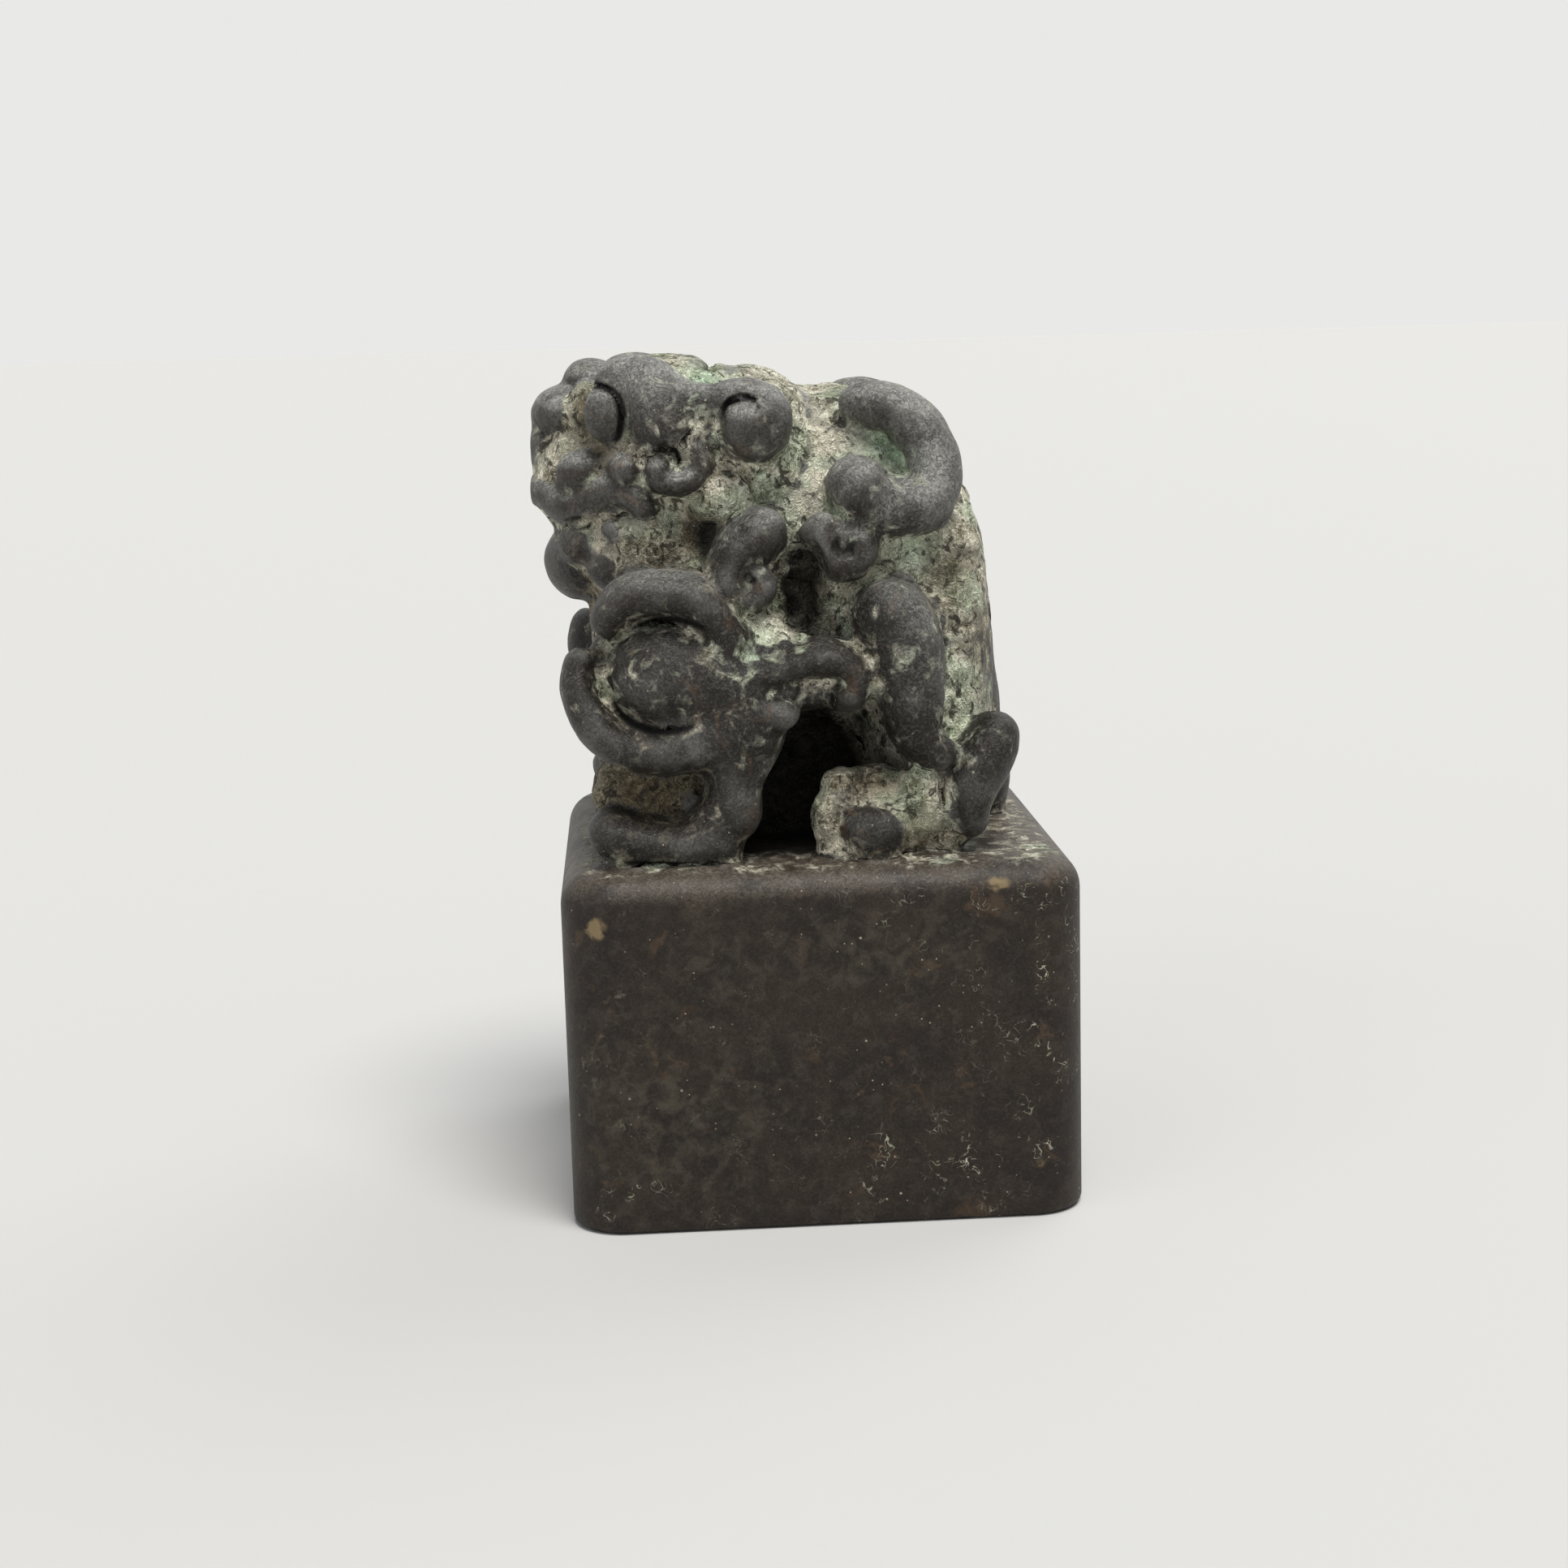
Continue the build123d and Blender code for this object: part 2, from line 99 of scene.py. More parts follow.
# a ball stretched along X, Y and Z, and tilted about Y
def addLump(name, centre, radii, tilt=0.0, melt=0.4):
    lumps[name] = {"centre": place(centre), "radii": np.array(radii), "tilt": math.radians(tilt),
                   "melt": melt}


# a roll follows its path; its oval sections stand up towards the near side or away from a heart point
def addRoll(name, path, radius, taper, depth=1.0, heart=None, melt=0.4):
    points = place(path)
    length = np.linalg.norm(np.diff(points, axis=0), axis=1).sum()
    count = max(8, int(length / rollStep["path"]))
    line = smoothPath(points, count)
    along = np.gradient(line, axis=0)
    along /= np.linalg.norm(along, axis=1)[:, None]
    side = line - place(heart) if heart is not None else np.tile([0.0, -1.0, 0.0], (count, 1))
    side -= along * (side * along).sum(axis=1)[:, None]
    side /= np.linalg.norm(side, axis=1)[:, None]
    size = radius * np.interp(np.linspace(0, 1, count), np.linspace(0, 1, len(taper)), taper)
    run = np.concatenate([[0.0], np.cumsum(np.linalg.norm(np.diff(line, axis=0), axis=1))])
    rolls[name] = {"line": line, "along": along, "side": side, "across": np.cross(along, side), "size": size,
                   "run": run, "depth": depth, "melt": melt}


# the common skin: signed distances on a grid over the near half, minus inside and plus outside
skin = {"step": 0.1, "reach": 0.7,
        "low": (-14.2, -13.4, 15.4), "high": (13.4, 0.8, 42.4)}
axes = [np.arange(low, high, skin["step"]) for low, high in zip(skin["low"], skin["high"])]
gridShape = tuple(len(axis) for axis in axes)
far = 9.0                                        # where no piece reaches
soft = np.full(gridShape, far, np.float32)       # all pieces melted together
nearest = np.full(gridShape, far, np.float32)    # the hard distance to the nearest piece
second = np.full(gridShape, far, np.float32)     # and to the one after it
ground = np.full(gridShape, far, np.float32)     # the distance to the body under the curls and limbs


# the part of the grid inside a box, and its three axes ready to broadcast
def patch(low, high):
    cuts = tuple(slice(*np.searchsorted(axis, (low[i], high[i]))) for i, axis in enumerate(axes))
    x, y, z = (axis[cut].astype(np.float32) for axis, cut in zip(axes, cuts))
    return cuts, x[:, None, None], y[None, :, None], z[None, None, :]


# distance to an oval from its scaled radius q: q (q - 1) over the length of q's slope
def ovalDistance(squares, steeps):
    scaled = np.sqrt(squares)
    return scaled * (scaled - 1) / np.sqrt(steeps + 1e-9)


# a lump's distance: the point is turned back by the tilt, and each of its parts is scaled by a radius
def lumpDistance(lump, x, y, z):
    a, b, c = lump["radii"]
    dx, dy, dz = x - lump["centre"][0], y - lump["centre"][1], z - lump["centre"][2]
    cosine, sine = math.cos(lump["tilt"]), math.sin(lump["tilt"])
    across, up = cosine * dx - sine * dz, sine * dx + cosine * dz
    squares = (across / a) ** 2 + (dy / b) ** 2 + (up / c) ** 2
    steeps = (across / a ** 2) ** 2 + (dy / b ** 2) ** 2 + (up / c ** 2) ** 2
    return ovalDistance(squares, steeps)


# the part of a roll between its round ends, as points with their frames and sizes
def rollCore(roll):
    run, size = roll["run"], roll["size"]
    start, end = size[0], run[-1] - size[-1]
    where = np.linspace(start, max(end, start + 0.05), max(2, int((end - start) / rollStep["core"])))
    core = {key: readOff(where, run, roll[key]) for key in ("line", "along", "side", "across")}
    core["size"] = np.interp(where, run, size)
    core["root"] = core["line"] - core["side"] * (core["size"] * (roll["depth"] - 1))[:, None]
    return core


# a roll's distance: each straight stretch of its core carries an oval whose frame and size change evenly
# along it, and the nearest stretch counts
def rollField(roll):
    core, depth, reach = rollCore(roll), roll["depth"], skin["reach"] + roll["melt"]
    swell = core["size"][:, None] * max(depth, 1.0) + reach
    low, high = core["root"] - swell, core["root"] + swell
    cuts, x, y, z = patch(low.min(axis=0), high.max(axis=0))
    field = np.full((x.size, y.size, z.size), far, np.float32)
    for i in range(len(core["root"]) - 1):
        start, step = core["root"][i], core["root"][i + 1] - core["root"][i]
        inner, sx, sy, sz = patch(np.minimum(low[i], low[i + 1]), np.maximum(high[i], high[i + 1]))
        local = tuple(slice(a.start - b.start, a.stop - b.start) for a, b in zip(inner, cuts))
        px, py, pz = sx - start[0], sy - start[1], sz - start[2]
        share = np.clip((px * step[0] + py * step[1] + pz * step[2]) / (step @ step), 0, 1)
        px, py, pz = px - share * step[0], py - share * step[1], pz - share * step[2]
        lean = [core[key][i + 1] - core[key][i] for key in ("side", "across")]
        up, wide = ((px * core[key][i][0] + py * core[key][i][1] + pz * core[key][i][2])
                    + share * (px * change[0] + py * change[1] + pz * change[2])
                    for key, change in zip(("side", "across"), lean))
        beyond = np.maximum(px ** 2 + py ** 2 + pz ** 2 - up ** 2 - wide ** 2, 0)
        size = core["size"][i] + share * (core["size"][i + 1] - core["size"][i])
        tall = size * depth
        squares = (up / tall) ** 2 + (wide ** 2 + beyond) / size ** 2
        steeps = (up / tall ** 2) ** 2 + (wide ** 2 + beyond) / size ** 4
        field[local] = np.minimum(field[local], ovalDistance(squares, steeps))
    return cuts, field


# two distances melted into one, over a band as wide as the melt
def melted(one, other, melt):
    band = np.maximum(melt - np.abs(one - other), 0) / melt
    return np.minimum(one, other) - band * band * melt / 4


# a piece melts into the skin; the two smallest distances are kept, and a crusted piece is ground
def layField(cuts, field, melt, crusted=False):
    soft[cuts] = melted(soft[cuts], field, melt)
    second[cuts] = np.minimum(second[cuts], np.maximum(nearest[cuts], field))
    nearest[cuts] = np.minimum(nearest[cuts], field)
    if crusted:
        ground[cuts] = np.minimum(ground[cuts], field)


# a lump or a roll is worked out in a box of its own size and reach
def layPiece(name, crusted):
    if name in rolls:
        layField(*rollField(rolls[name]), rolls[name]["melt"], crusted)
        return
    lump = lumps[name]
    swell = lump["radii"].max() + skin["reach"] + lump["melt"]
    cuts, x, y, z = patch(lump["centre"] - swell, lump["centre"] + swell)
    layField(cuts, lumpDistance(lump, x, y, z), lump["melt"], crusted)


# the trunk or the block is worked out in the whole grid up to a height
def layMass(distance, top, melt, crusted=False):
    cuts, x, y, z = patch(skin["low"], (skin["high"][0], skin["high"][1], top))
    field = np.broadcast_to(distance(x, y, z), (x.size, y.size, z.size)).astype(np.float32)
    layField(cuts, field, melt, crusted)


# the eight values round each point, each weighted by how near it is
def gridValue(grid, points):
    spots = [(points[:, i] - axes[i][0]) / skin["step"] for i in range(3)]
    at = [np.clip(spot.astype(np.int32), 0, size - 2) for spot, size in zip(spots, gridShape)]
    part = [np.clip(spot - whole, 0, 1).astype(np.float32) for spot, whole in zip(spots, at)]
    total = np.zeros(len(points), np.float32)
    for i in (0, 1):
        for j in (0, 1):
            for k in (0, 1):
                weight = ((part[0] if i else 1 - part[0]) * (part[1] if j else 1 - part[1])
                          * (part[2] if k else 1 - part[2]))
                total += weight * grid[at[0] + i, at[1] + j, at[2] + k]
    return total


# a roll's surface: round its section by one parameter and along it by the other, closed as a quarter
# circle at each end, with a point there
def rollSurface(roll, pitch):
    run, size, depth = roll["run"], roll["size"], roll["depth"]
    total, first, last = run[-1], size[0], size[-1]
    count = max(12, int(total / pitch))
    where = np.linspace(0, total, count + 2)[1:-1]
    turn = int(max(16, 2 * math.pi * size.max() * math.sqrt((1 + depth ** 2) / 2) / pitch))
    line, side, across = (readOff(where, run, roll[key]) for key in ("line", "side", "across"))
    full = np.interp(where, run, size)
    closing = np.sqrt(np.clip(1 - (1 - np.minimum(where / first, 1)) ** 2, 0, 1))
    closing *= np.sqrt(np.clip(1 - (1 - np.minimum((total - where) / last, 1)) ** 2, 0, 1))
    root = line - side * (full * (depth - 1))[:, None]
    angle = np.arange(turn) * 2 * math.pi / turn
    rings = (root[:, None] + side[:, None] * ((full * closing)[:, None] * np.cos(angle) * depth)[..., None]
             + across[:, None] * ((full * closing)[:, None] * np.sin(angle))[..., None])
    tips = [roll["line"][i] - roll["side"][i] * size[i] * (depth - 1) for i in (0, -1)]
    return tubeMesh(rings, tips)


# rings of points made into quads, and closed by a fan at each end
def tubeMesh(rings, tips):
    count, turn = rings.shape[:2]
    around = np.arange(turn)
    after = (around + 1) % turn
    first, final = np.arange(count - 1)[:, None] * turn, (count - 1) * turn
    quads = np.stack([first + around, first + after, first + turn + after, first + turn + around], axis=-1)
    tip = np.full(turn, count * turn)
    fans = np.concatenate([np.stack([after, around, tip], axis=1),
                           np.stack([final + around, final + after, tip + 1], axis=1)])
    return np.concatenate([rings.reshape(-1, 3), np.array(tips)]), quads.reshape(-1, 4), fans


# a ball as a blown-up cube: six square grids pushed out onto it, so that it has no poles
def lumpSurface(lump, pitch):
    count = int(max(8, lump["radii"].max() * math.pi / 2 / pitch))
    spread = np.tan(np.linspace(-math.pi / 4, math.pi / 4, count + 1))
    u, v = np.meshgrid(spread, spread, indexing="ij")
    sheets, quads = [], []
    cell = (np.arange(count)[:, None] * (count + 1) + np.arange(count)[None]).reshape(-1)
    for axis in range(3):
        for sign in (-1, 1):
            sheet = np.zeros((count + 1, count + 1, 3))
            sheet[..., axis], sheet[..., (axis + 1) % 3], sheet[..., (axis + 2) % 3] = sign, u, v * sign
            first = len(sheets) * (count + 1) ** 2 + cell
            quads.append(np.stack([first, first + count + 1, first + count + 2, first + 1], axis=1))
            sheets.append(sheet.reshape(-1, 3))
    points = np.concatenate(sheets)
    points, joined = mergeDoubles(points / np.linalg.norm(points, axis=1)[:, None])
    quads = joined[np.concatenate(quads)]
    points = points * lump["radii"]
    cosine, sine = math.cos(lump["tilt"]), math.sin(lump["tilt"])
    turned = np.stack([cosine * points[:, 0] + sine * points[:, 2], points[:, 1],
                       -sine * points[:, 0] + cosine * points[:, 2]], axis=1)
    return turned + lump["centre"], quads, np.zeros((0, 3), int)


# points at the same rounded place become one, and each old point learns its new number
def mergeDoubles(points):
    keys = np.round(points * 1e5).astype(np.int64)
    _, first, joined = np.unique(keys, axis=0, return_index=True, return_inverse=True)
    return points[first], joined.reshape(-1)


# how a surface is drawn onto the skin: the cover over a point at which it starts to sink, over how much
# more it sinks, how far, the cover past which it stays, and the longest step, the least slope that counts
# and the number of steps
drawing = {"cover": 0.12, "band": 0.25, "sunk": 0.1, "deep": 0.4, "stride": 0.3, "slope": 0.2, "steps": 7}


# Each point steps along the skin's slope until it lies on it. A point that another piece covers goes a
# hair under it instead, and one deep inside stays where it is.
def settle(points):
    covered = gridValue(nearest, points) + gridValue(second, points)
    ramp = np.clip((-covered - drawing["cover"]) / drawing["band"], 0, 1)
    target = -drawing["sunk"] * ramp * ramp * (3 - 2 * ramp)
    moving = covered > -drawing["deep"]
    spots = points[moving]
    for _ in range(drawing["steps"]):
        gap = gridValue(soft, spots) - target[moving]
        lean = np.stack([gridValue(part, spots) for part in slope], axis=1)
        steep = np.maximum((lean ** 2).sum(axis=1), drawing["slope"])
        move = np.clip(gap / steep, -drawing["stride"], drawing["stride"])
        under = (target[moving] < -0.001) & (gap < 0)
        move[under] = 0
        spots = spots - lean * move[:, None]
    placed = points.copy()
    placed[moving] = spots
    lean = np.stack([gridValue(part, placed) for part in slope], axis=1)
    return placed, lean / np.maximum(np.linalg.norm(lean, axis=1), 1e-6)[:, None]


# the block, and the relief under it
block = {"half": 12.5, "top": 17.5, "corner": 2.6, "edge": 1.6, "foot": 0.4, "melt": 0.8, "reach": 2.5}
blockRings = {"top": 51, "bend": 11, "side": 56, "face": 83, "round": 460, "straight": 0.8}
fret = {
    "border": 1.5, "line": 1.2, "centre": 3.4, "deep": 0.9, "wall": 0.14,
    "corner": [[(0.13, 0.36), (0.35, 0.36), (0.35, -0.36), (0.13, -0.36)], [(0.2, 0.14), (0.2, -0.14)],
               [(0.2, 0.0), (0.35, 0.0)]],
    "stem": [(0.0, 0.36), (0.0, -0.36)],
}


# distance to a corner where two walls meet, from the distances to the walls: straight lines outside it,
# and the nearer wall inside
def cornerDistance(one, other):
    outside = np.sqrt(np.maximum(one, 0) ** 2 + np.maximum(other, 0) ** 2)
    return outside + np.minimum(np.maximum(one, other), 0)


# the rounded block: distance to a rounded square, then to its rounded edge with the flat top and foot
def blockDistance(x, y, z):
    half, corner, edge = block["half"], block["corner"], block["edge"]
    ax, ay = np.abs(x) - (half - corner), np.abs(y) - (half - corner)
    flat = cornerDistance(ax, ay) - corner
    middle = block["top"] / 2
    upright = np.abs(z - middle) - middle
    return cornerDistance(flat + edge, upright + edge) - edge


# the face's ground is sunk, and the border and the lines of the fret stand up to the printing plane
def faceHeight(x, y):
    size = 2 * (block["half"] - fret["border"])
    lines = fret["corner"] + [[(-a, b) for a, b in points] for points in fret["corner"]] + [fret["stem"]]
    gap = np.maximum(np.abs(x), np.abs(y)) - fret["centre"] / 2
    for points in lines:
        for (a, b), (c, d) in zip(points[:-1], points[1:]):
            acrossX = np.abs(x - (a + c) / 2 * size) - abs(c - a) / 2 * size - fret["line"] / 2
            acrossY = np.abs(y - (b + d) / 2 * size) - abs(d - b) / 2 * size - fret["line"] / 2
            gap = np.minimum(gap, np.maximum(acrossX, acrossY))
    gap = np.minimum(gap, size / 2 - np.maximum(np.abs(x), np.abs(y)))
    return fret["deep"] * np.clip(gap / fret["wall"] + 0.5, 0, 1)


# square rings from the middle of the top, down the sides and in under the face: each ring has an inset
# and a height, and its corners are rounded less the further in it lies
def blockSurface():
    half, edge, foot, top = block["half"], block["edge"], block["foot"], block["top"]
    quarter = np.linspace(0, math.pi / 2, blockRings["bend"])
    footBend = quarter[::3]
    inset = np.concatenate([
        np.linspace(half, edge, blockRings["top"] + 1)[:-1], edge * (1 - np.sin(quarter)),
        np.zeros(blockRings["side"]), foot * (1 - np.cos(footBend)),
        np.linspace(foot, half, blockRings["face"] + 1)[1:]])[1:-1]
    height = np.concatenate([
        np.full(blockRings["top"], top), top - edge * (1 - np.cos(quarter)),
        np.linspace(top - edge, foot, blockRings["side"] + 2)[1:-1], foot * (1 - np.sin(footBend)),
        np.zeros(blockRings["face"])])[1:-1]
    size = half - inset
    corner = np.maximum(np.minimum(block["corner"], size) - 0.3 * inset, size * 0.02)
    share = np.arange(blockRings["round"]) / blockRings["round"] * 4
    side, along = share.astype(int), (share % 1) * 2 - 1
    straight = np.minimum(np.abs(along) / blockRings["straight"], 1) * np.sign(along)
    bent = (np.abs(along) - blockRings["straight"]) / (1 - blockRings["straight"])
    bend = np.clip(bent, 0, 1) * math.pi / 4
    run = (size - corner)[:, None] * straight + corner[:, None] * (np.sin(bend) * np.sign(along))
    out = (size - corner)[:, None] + corner[:, None] * np.cos(bend)
    sides = [side == i for i in range(4)]
    x = np.select(sides, [out, -run, -out, run])
    y = np.select(sides, [run, out, -run, -out])
    z = np.broadcast_to(height[:, None], x.shape).copy()
    under = height < 1e-6
    z[under] = faceHeight(x[under], y[under])
    return tubeMesh(np.stack([x, y, z], axis=-1)[:, ::-1], [(0, 0, top), (0, 0, 0)])


# the masses of the body, front to back
torso = {
    "stations": [-0.34, -0.26, -0.08, 0.12, 0.24, 0.29], "middle": [0.44, 0.48, 0.555, 0.57, 0.495, 0.44],
    "halfWidth": 7.5, "width": [0.75, 0.93, 0.9, 0.97, 0.96, 0.8],
    "halfHeight": 8.5, "height": [0.6, 0.85, 0.96, 1.0, 1.0, 0.88], "cap": 0.08, "melt": 1.0,
}


# the trunk's middle height and half sizes at each x, on smooth curves through its stations
def torsoSection(x):
    stretch = 10                                 # x counts for more than the sizes in the curves' run
    stations = np.array(torso["stations"]) * stretch
    middles, heights = (smoothPath(np.stack([stations, torso[one], torso[other]], axis=1), 200)
                        for one, other in (("middle", "width"), ("height", "height")))
    at = x / seal["width"] * stretch
    middle = place((0, 0, 0))[2] + seal["beastHeight"] * np.interp(at, middles[:, 0], middles[:, 1])
    wide = torso["halfWidth"] * np.interp(at, middles[:, 0], middles[:, 2])
    tall = torso["halfHeight"] * np.interp(at, heights[:, 0], heights[:, 1])
    return middle, wide, tall


# where the trunk's first and last sections lie, and how long its caps are
def torsoEnds():
    return (share * seal["width"] for share in (torso["stations"][0], torso["stations"][-1], torso["cap"]))


# the trunk is ovals across, scaled down over a short cap at each end
def torsoDistance(x, y, z):
    low, high, cap = torsoEnds()
    inside = np.clip(x, low, high)
    sections = torsoSection(inside.reshape(-1))
    middle, wide, tall = (values.astype(np.float32).reshape(x.shape) for values in sections)
    beyond = x - inside
    squares = (y / wide) ** 2 + ((z - middle) / tall) ** 2 + (beyond / cap) ** 2
    steeps = (y / wide ** 2) ** 2 + ((z - middle) / tall ** 2) ** 2 + (beyond / cap ** 2) ** 2
    return ovalDistance(squares, steeps)


# the same ovals as rings, round by one parameter and along by the other
def torsoSurface(pitch):
    low, high, cap = torsoEnds()
    x = np.linspace(low - cap, high + cap, int((high - low + 2 * cap) / pitch) + 2)[1:-1]
    middle, wide, tall = torsoSection(np.clip(x, low, high))
    beyond = np.abs(x - np.clip(x, low, high)) / cap
    closing = np.sqrt(np.maximum(1 - beyond ** 2, 0))
    turn = int(2 * math.pi * torso["halfWidth"] / pitch)
    angle = np.arange(turn) * 2 * math.pi / turn
    rings = np.stack([np.broadcast_to(x[:, None], (len(x), turn)), np.outer(wide * closing, np.cos(angle)),
                      middle[:, None] + np.outer(tall * closing, np.sin(angle))], axis=-1)
    return tubeMesh(rings, [(low - cap, 0, middle[0]), (high + cap, 0, middle[-1])])


rump = {"centre": (0.24, 0.0, 0.29), "radii": (3.2, 8.0, 8.64), "melt": 1.6}
addLump("rump", **rump)
chest = {"centre": (-0.26, 0.0, 0.17), "radii": (3.0, 8.5, 5.5), "melt": 1.4}
addLump("chest", **chest)
belly = {"centre": (-0.02, 0.0, 0.07), "radii": (6.5, 4.0, 4.75), "melt": 1.0}
addLump("belly", **belly)
mane = {"centre": (-0.09, 0.0, 0.79), "radii": (3.198, 7.02, 4.212), "melt": 1.2}
addLump("mane", **mane)
skull = {"centre": (-0.255, 0.0, 0.8), "radii": (5.0, 7.3, 4.7), "melt": 1.2}
addLump("skull", **skull)
muzzle = {"centre": (-0.415, 0.0, 0.755), "radii": (2.697, 4.96, 3.1), "melt": 1.0}
addLump("muzzle", **muzzle)
throat = {"centre": (-0.3, 0.0, 0.63), "radii": (4.2, 7.014, 3.99), "melt": 1.2}
addLump("throat", **throat)
chin = {"centre": (-0.445, 0.0, 0.58), "radii": (1.76, 4.18, 1.98), "melt": 0.5}
addLump("chin", **chin)
foreheadKnob = {"centre": (-0.405, 0.0, 0.945), "radii": (1.5, 2.1, 1.23), "melt": 0.35}
addLump("forehead_knob", **foreheadKnob)
noseBridge = {"centre": (-0.465, 0.0, 0.885), "radii": (1.6, 3.4, 1.4), "melt": 0.3}
addLump("nose_bridge", **noseBridge)
noseTip = {"centre": (-0.495, 0.0, 0.815), "radii": (1.1, 2.2, 1.43), "melt": 0.4}
addLump("nose_tip", **noseTip)
eye = {"centre": (-0.38, -0.24, 0.89), "radii": (1.02, 1.02, 1.38), "melt": 0.12}
addLump("eye", **eye)
brow = {
    "path": [(-0.375, -0.175, 0.94), (-0.33, -0.215, 0.94), (-0.285, -0.24, 0.915), (-0.27, -0.26, 0.875),
             (-0.265, -0.27, 0.84), (-0.25, -0.275, 0.81)],
    "radius": 1.75, "taper": [0.65, 0.85, 1.0, 1.0, 0.9, 0.65], "melt": 0.5,
}
addRoll("brow", **brow)
nostril = {"centre": (-0.43, -0.195, 0.775), "radii": (1.3, 1.3, 1.05), "melt": 0.2}
addLump("nostril", **nostril)
cheekBead = {"centre": (-0.345, -0.265, 0.78), "radii": (0.8, 1.02, 0.765), "melt": 0.2}
addLump("cheek_bead", **cheekBead)
upperLip = {
    "path": [(-0.31, -0.275, 0.685), (-0.315, -0.275, 0.71), (-0.335, -0.265, 0.73),
             (-0.365, -0.25, 0.74), (-0.395, -0.23, 0.73), (-0.425, -0.205, 0.71),
             (-0.46, -0.175, 0.705), (-0.49, -0.13, 0.725), (-0.51, -0.065, 0.73), (-0.515, 0.0, 0.725),
             (-0.51, 0.065, 0.73), (-0.49, 0.13, 0.725), (-0.46, 0.175, 0.705), (-0.425, 0.205, 0.71),
             (-0.395, 0.23, 0.73), (-0.365, 0.25, 0.74), (-0.335, 0.265, 0.73), (-0.315, 0.275, 0.71),
             (-0.31, 0.275, 0.685)],
    "radius": 0.84, "taper": [0.65, 0.95, 1.05, 1.05, 1.0, 1.05, 1.05, 0.95, 0.65],
    "heart": (-0.2, 0.0, 0.68), "melt": 0.2,
}
addRoll("upper_lip", **upperLip)
fang = {
    "path": [(-0.38, -0.24, 0.68), (-0.37, -0.25, 0.65), (-0.35, -0.255, 0.625), (-0.33, -0.26, 0.615)],
    "radius": 0.62, "taper": [0.9, 1.0, 1.0, 0.75], "depth": 1.8, "melt": 0.15,
}
addRoll("fang", **fang)
jowl = {"centre": (-0.17, -0.255, 0.72), "radii": (1.75, 1.4, 1.19), "melt": 0.5}
addLump("jowl", **jowl)
templeCurl = {
    "path": [(-0.225, -0.28, 0.84), (-0.205, -0.29, 0.8), (-0.215, -0.3, 0.765), (-0.25, -0.31, 0.75),
             (-0.28, -0.31, 0.76), (-0.285, -0.31, 0.785), (-0.27, -0.31, 0.795)],
    "radius": 0.66, "taper": [1.3, 1.15, 1.05, 1.0, 0.95, 0.85], "depth": 1.6, "melt": 0.15,
}
addRoll("temple_curl", **templeCurl)
earBead = {"centre": (-0.12, -0.305, 0.865), "radii": (1.15, 1.6, 1.05), "melt": 0.35}
addLump("ear_bead", **earBead)
earRoll = {
    "path": [(-0.185, -0.275, 0.885), (-0.17, -0.285, 0.91), (-0.135, -0.295, 0.925), (-0.095, -0.305, 0.925),
             (-0.065, -0.31, 0.905), (-0.055, -0.315, 0.875), (-0.065, -0.315, 0.84), (-0.1, -0.315, 0.82),
             (-0.14, -0.31, 0.83)],
    "radius": 0.66, "taper": [0.9, 1.0, 1.0, 1.0, 1.05, 1.0], "depth": 2.2, "melt": 0.3,
}
addRoll("ear_roll", **earRoll)
longLock = {
    "path": [(-0.055, -0.295, 0.685), (-0.09, -0.31, 0.65), (-0.135, -0.33, 0.615),
             (-0.16, -0.34, 0.575), (-0.155, -0.35, 0.535), (-0.12, -0.35, 0.52), (-0.09, -0.35, 0.54),
             (-0.09, -0.35, 0.565)],
    "radius": 1.2, "taper": [1.05, 1.15, 1.08, 0.85, 0.68, 0.56, 0.5], "depth": 1.8, "melt": 0.2,
}
addRoll("long_lock", **longLock)
smallCurl = {
    "path": [(0.045, -0.33, 0.68), (0.02, -0.34, 0.65), (0.02, -0.345, 0.615), (0.045, -0.35, 0.59),
             (0.08, -0.35, 0.585), (0.1, -0.35, 0.61), (0.095, -0.35, 0.635), (0.075, -0.35, 0.635)],
    "radius": 0.82, "taper": [0.75, 1.0, 1.0, 1.0, 0.95, 0.75], "depth": 2.2, "melt": 0.2,
}
addRoll("small_curl", **smallCurl)
backCurl = {
    "path": [(0.08, -0.16, 0.895), (0.12, -0.185, 0.895), (0.165, -0.22, 0.885), (0.215, -0.25, 0.85),
             (0.245, -0.27, 0.79), (0.245, -0.285, 0.73), (0.21, -0.3, 0.695), (0.155, -0.31, 0.69),
             (0.11, -0.32, 0.715), (0.09, -0.325, 0.755), (0.105, -0.325, 0.785)],
    "radius": 1.35, "taper": [0.65, 0.9, 1.0, 1.0, 1.0, 1.05, 1.1, 1.05], "depth": 1.5, "melt": 0.4,
}
addRoll("back_curl", **backCurl)
shoulderBall = {"centre": (-0.29, -0.355, 0.375), "radii": (2.472, 2.28, 2.352), "melt": 0.15}
addLump("shoulder_ball", **shoulderBall)
shoulderRoll = {
    "path": [(-0.405, -0.35, 0.46), (-0.385, -0.36, 0.5), (-0.35, -0.37, 0.53), (-0.295, -0.38, 0.54),
             (-0.245, -0.385, 0.535), (-0.205, -0.39, 0.505), (-0.17, -0.385, 0.46),
             (-0.135, -0.375, 0.42)],
    "radius": 1.1, "taper": [0.65, 0.95, 1.0, 1.0, 1.0, 0.95], "depth": 1.9, "melt": 0.3,
}
addRoll("shoulder_roll", **shoulderRoll)
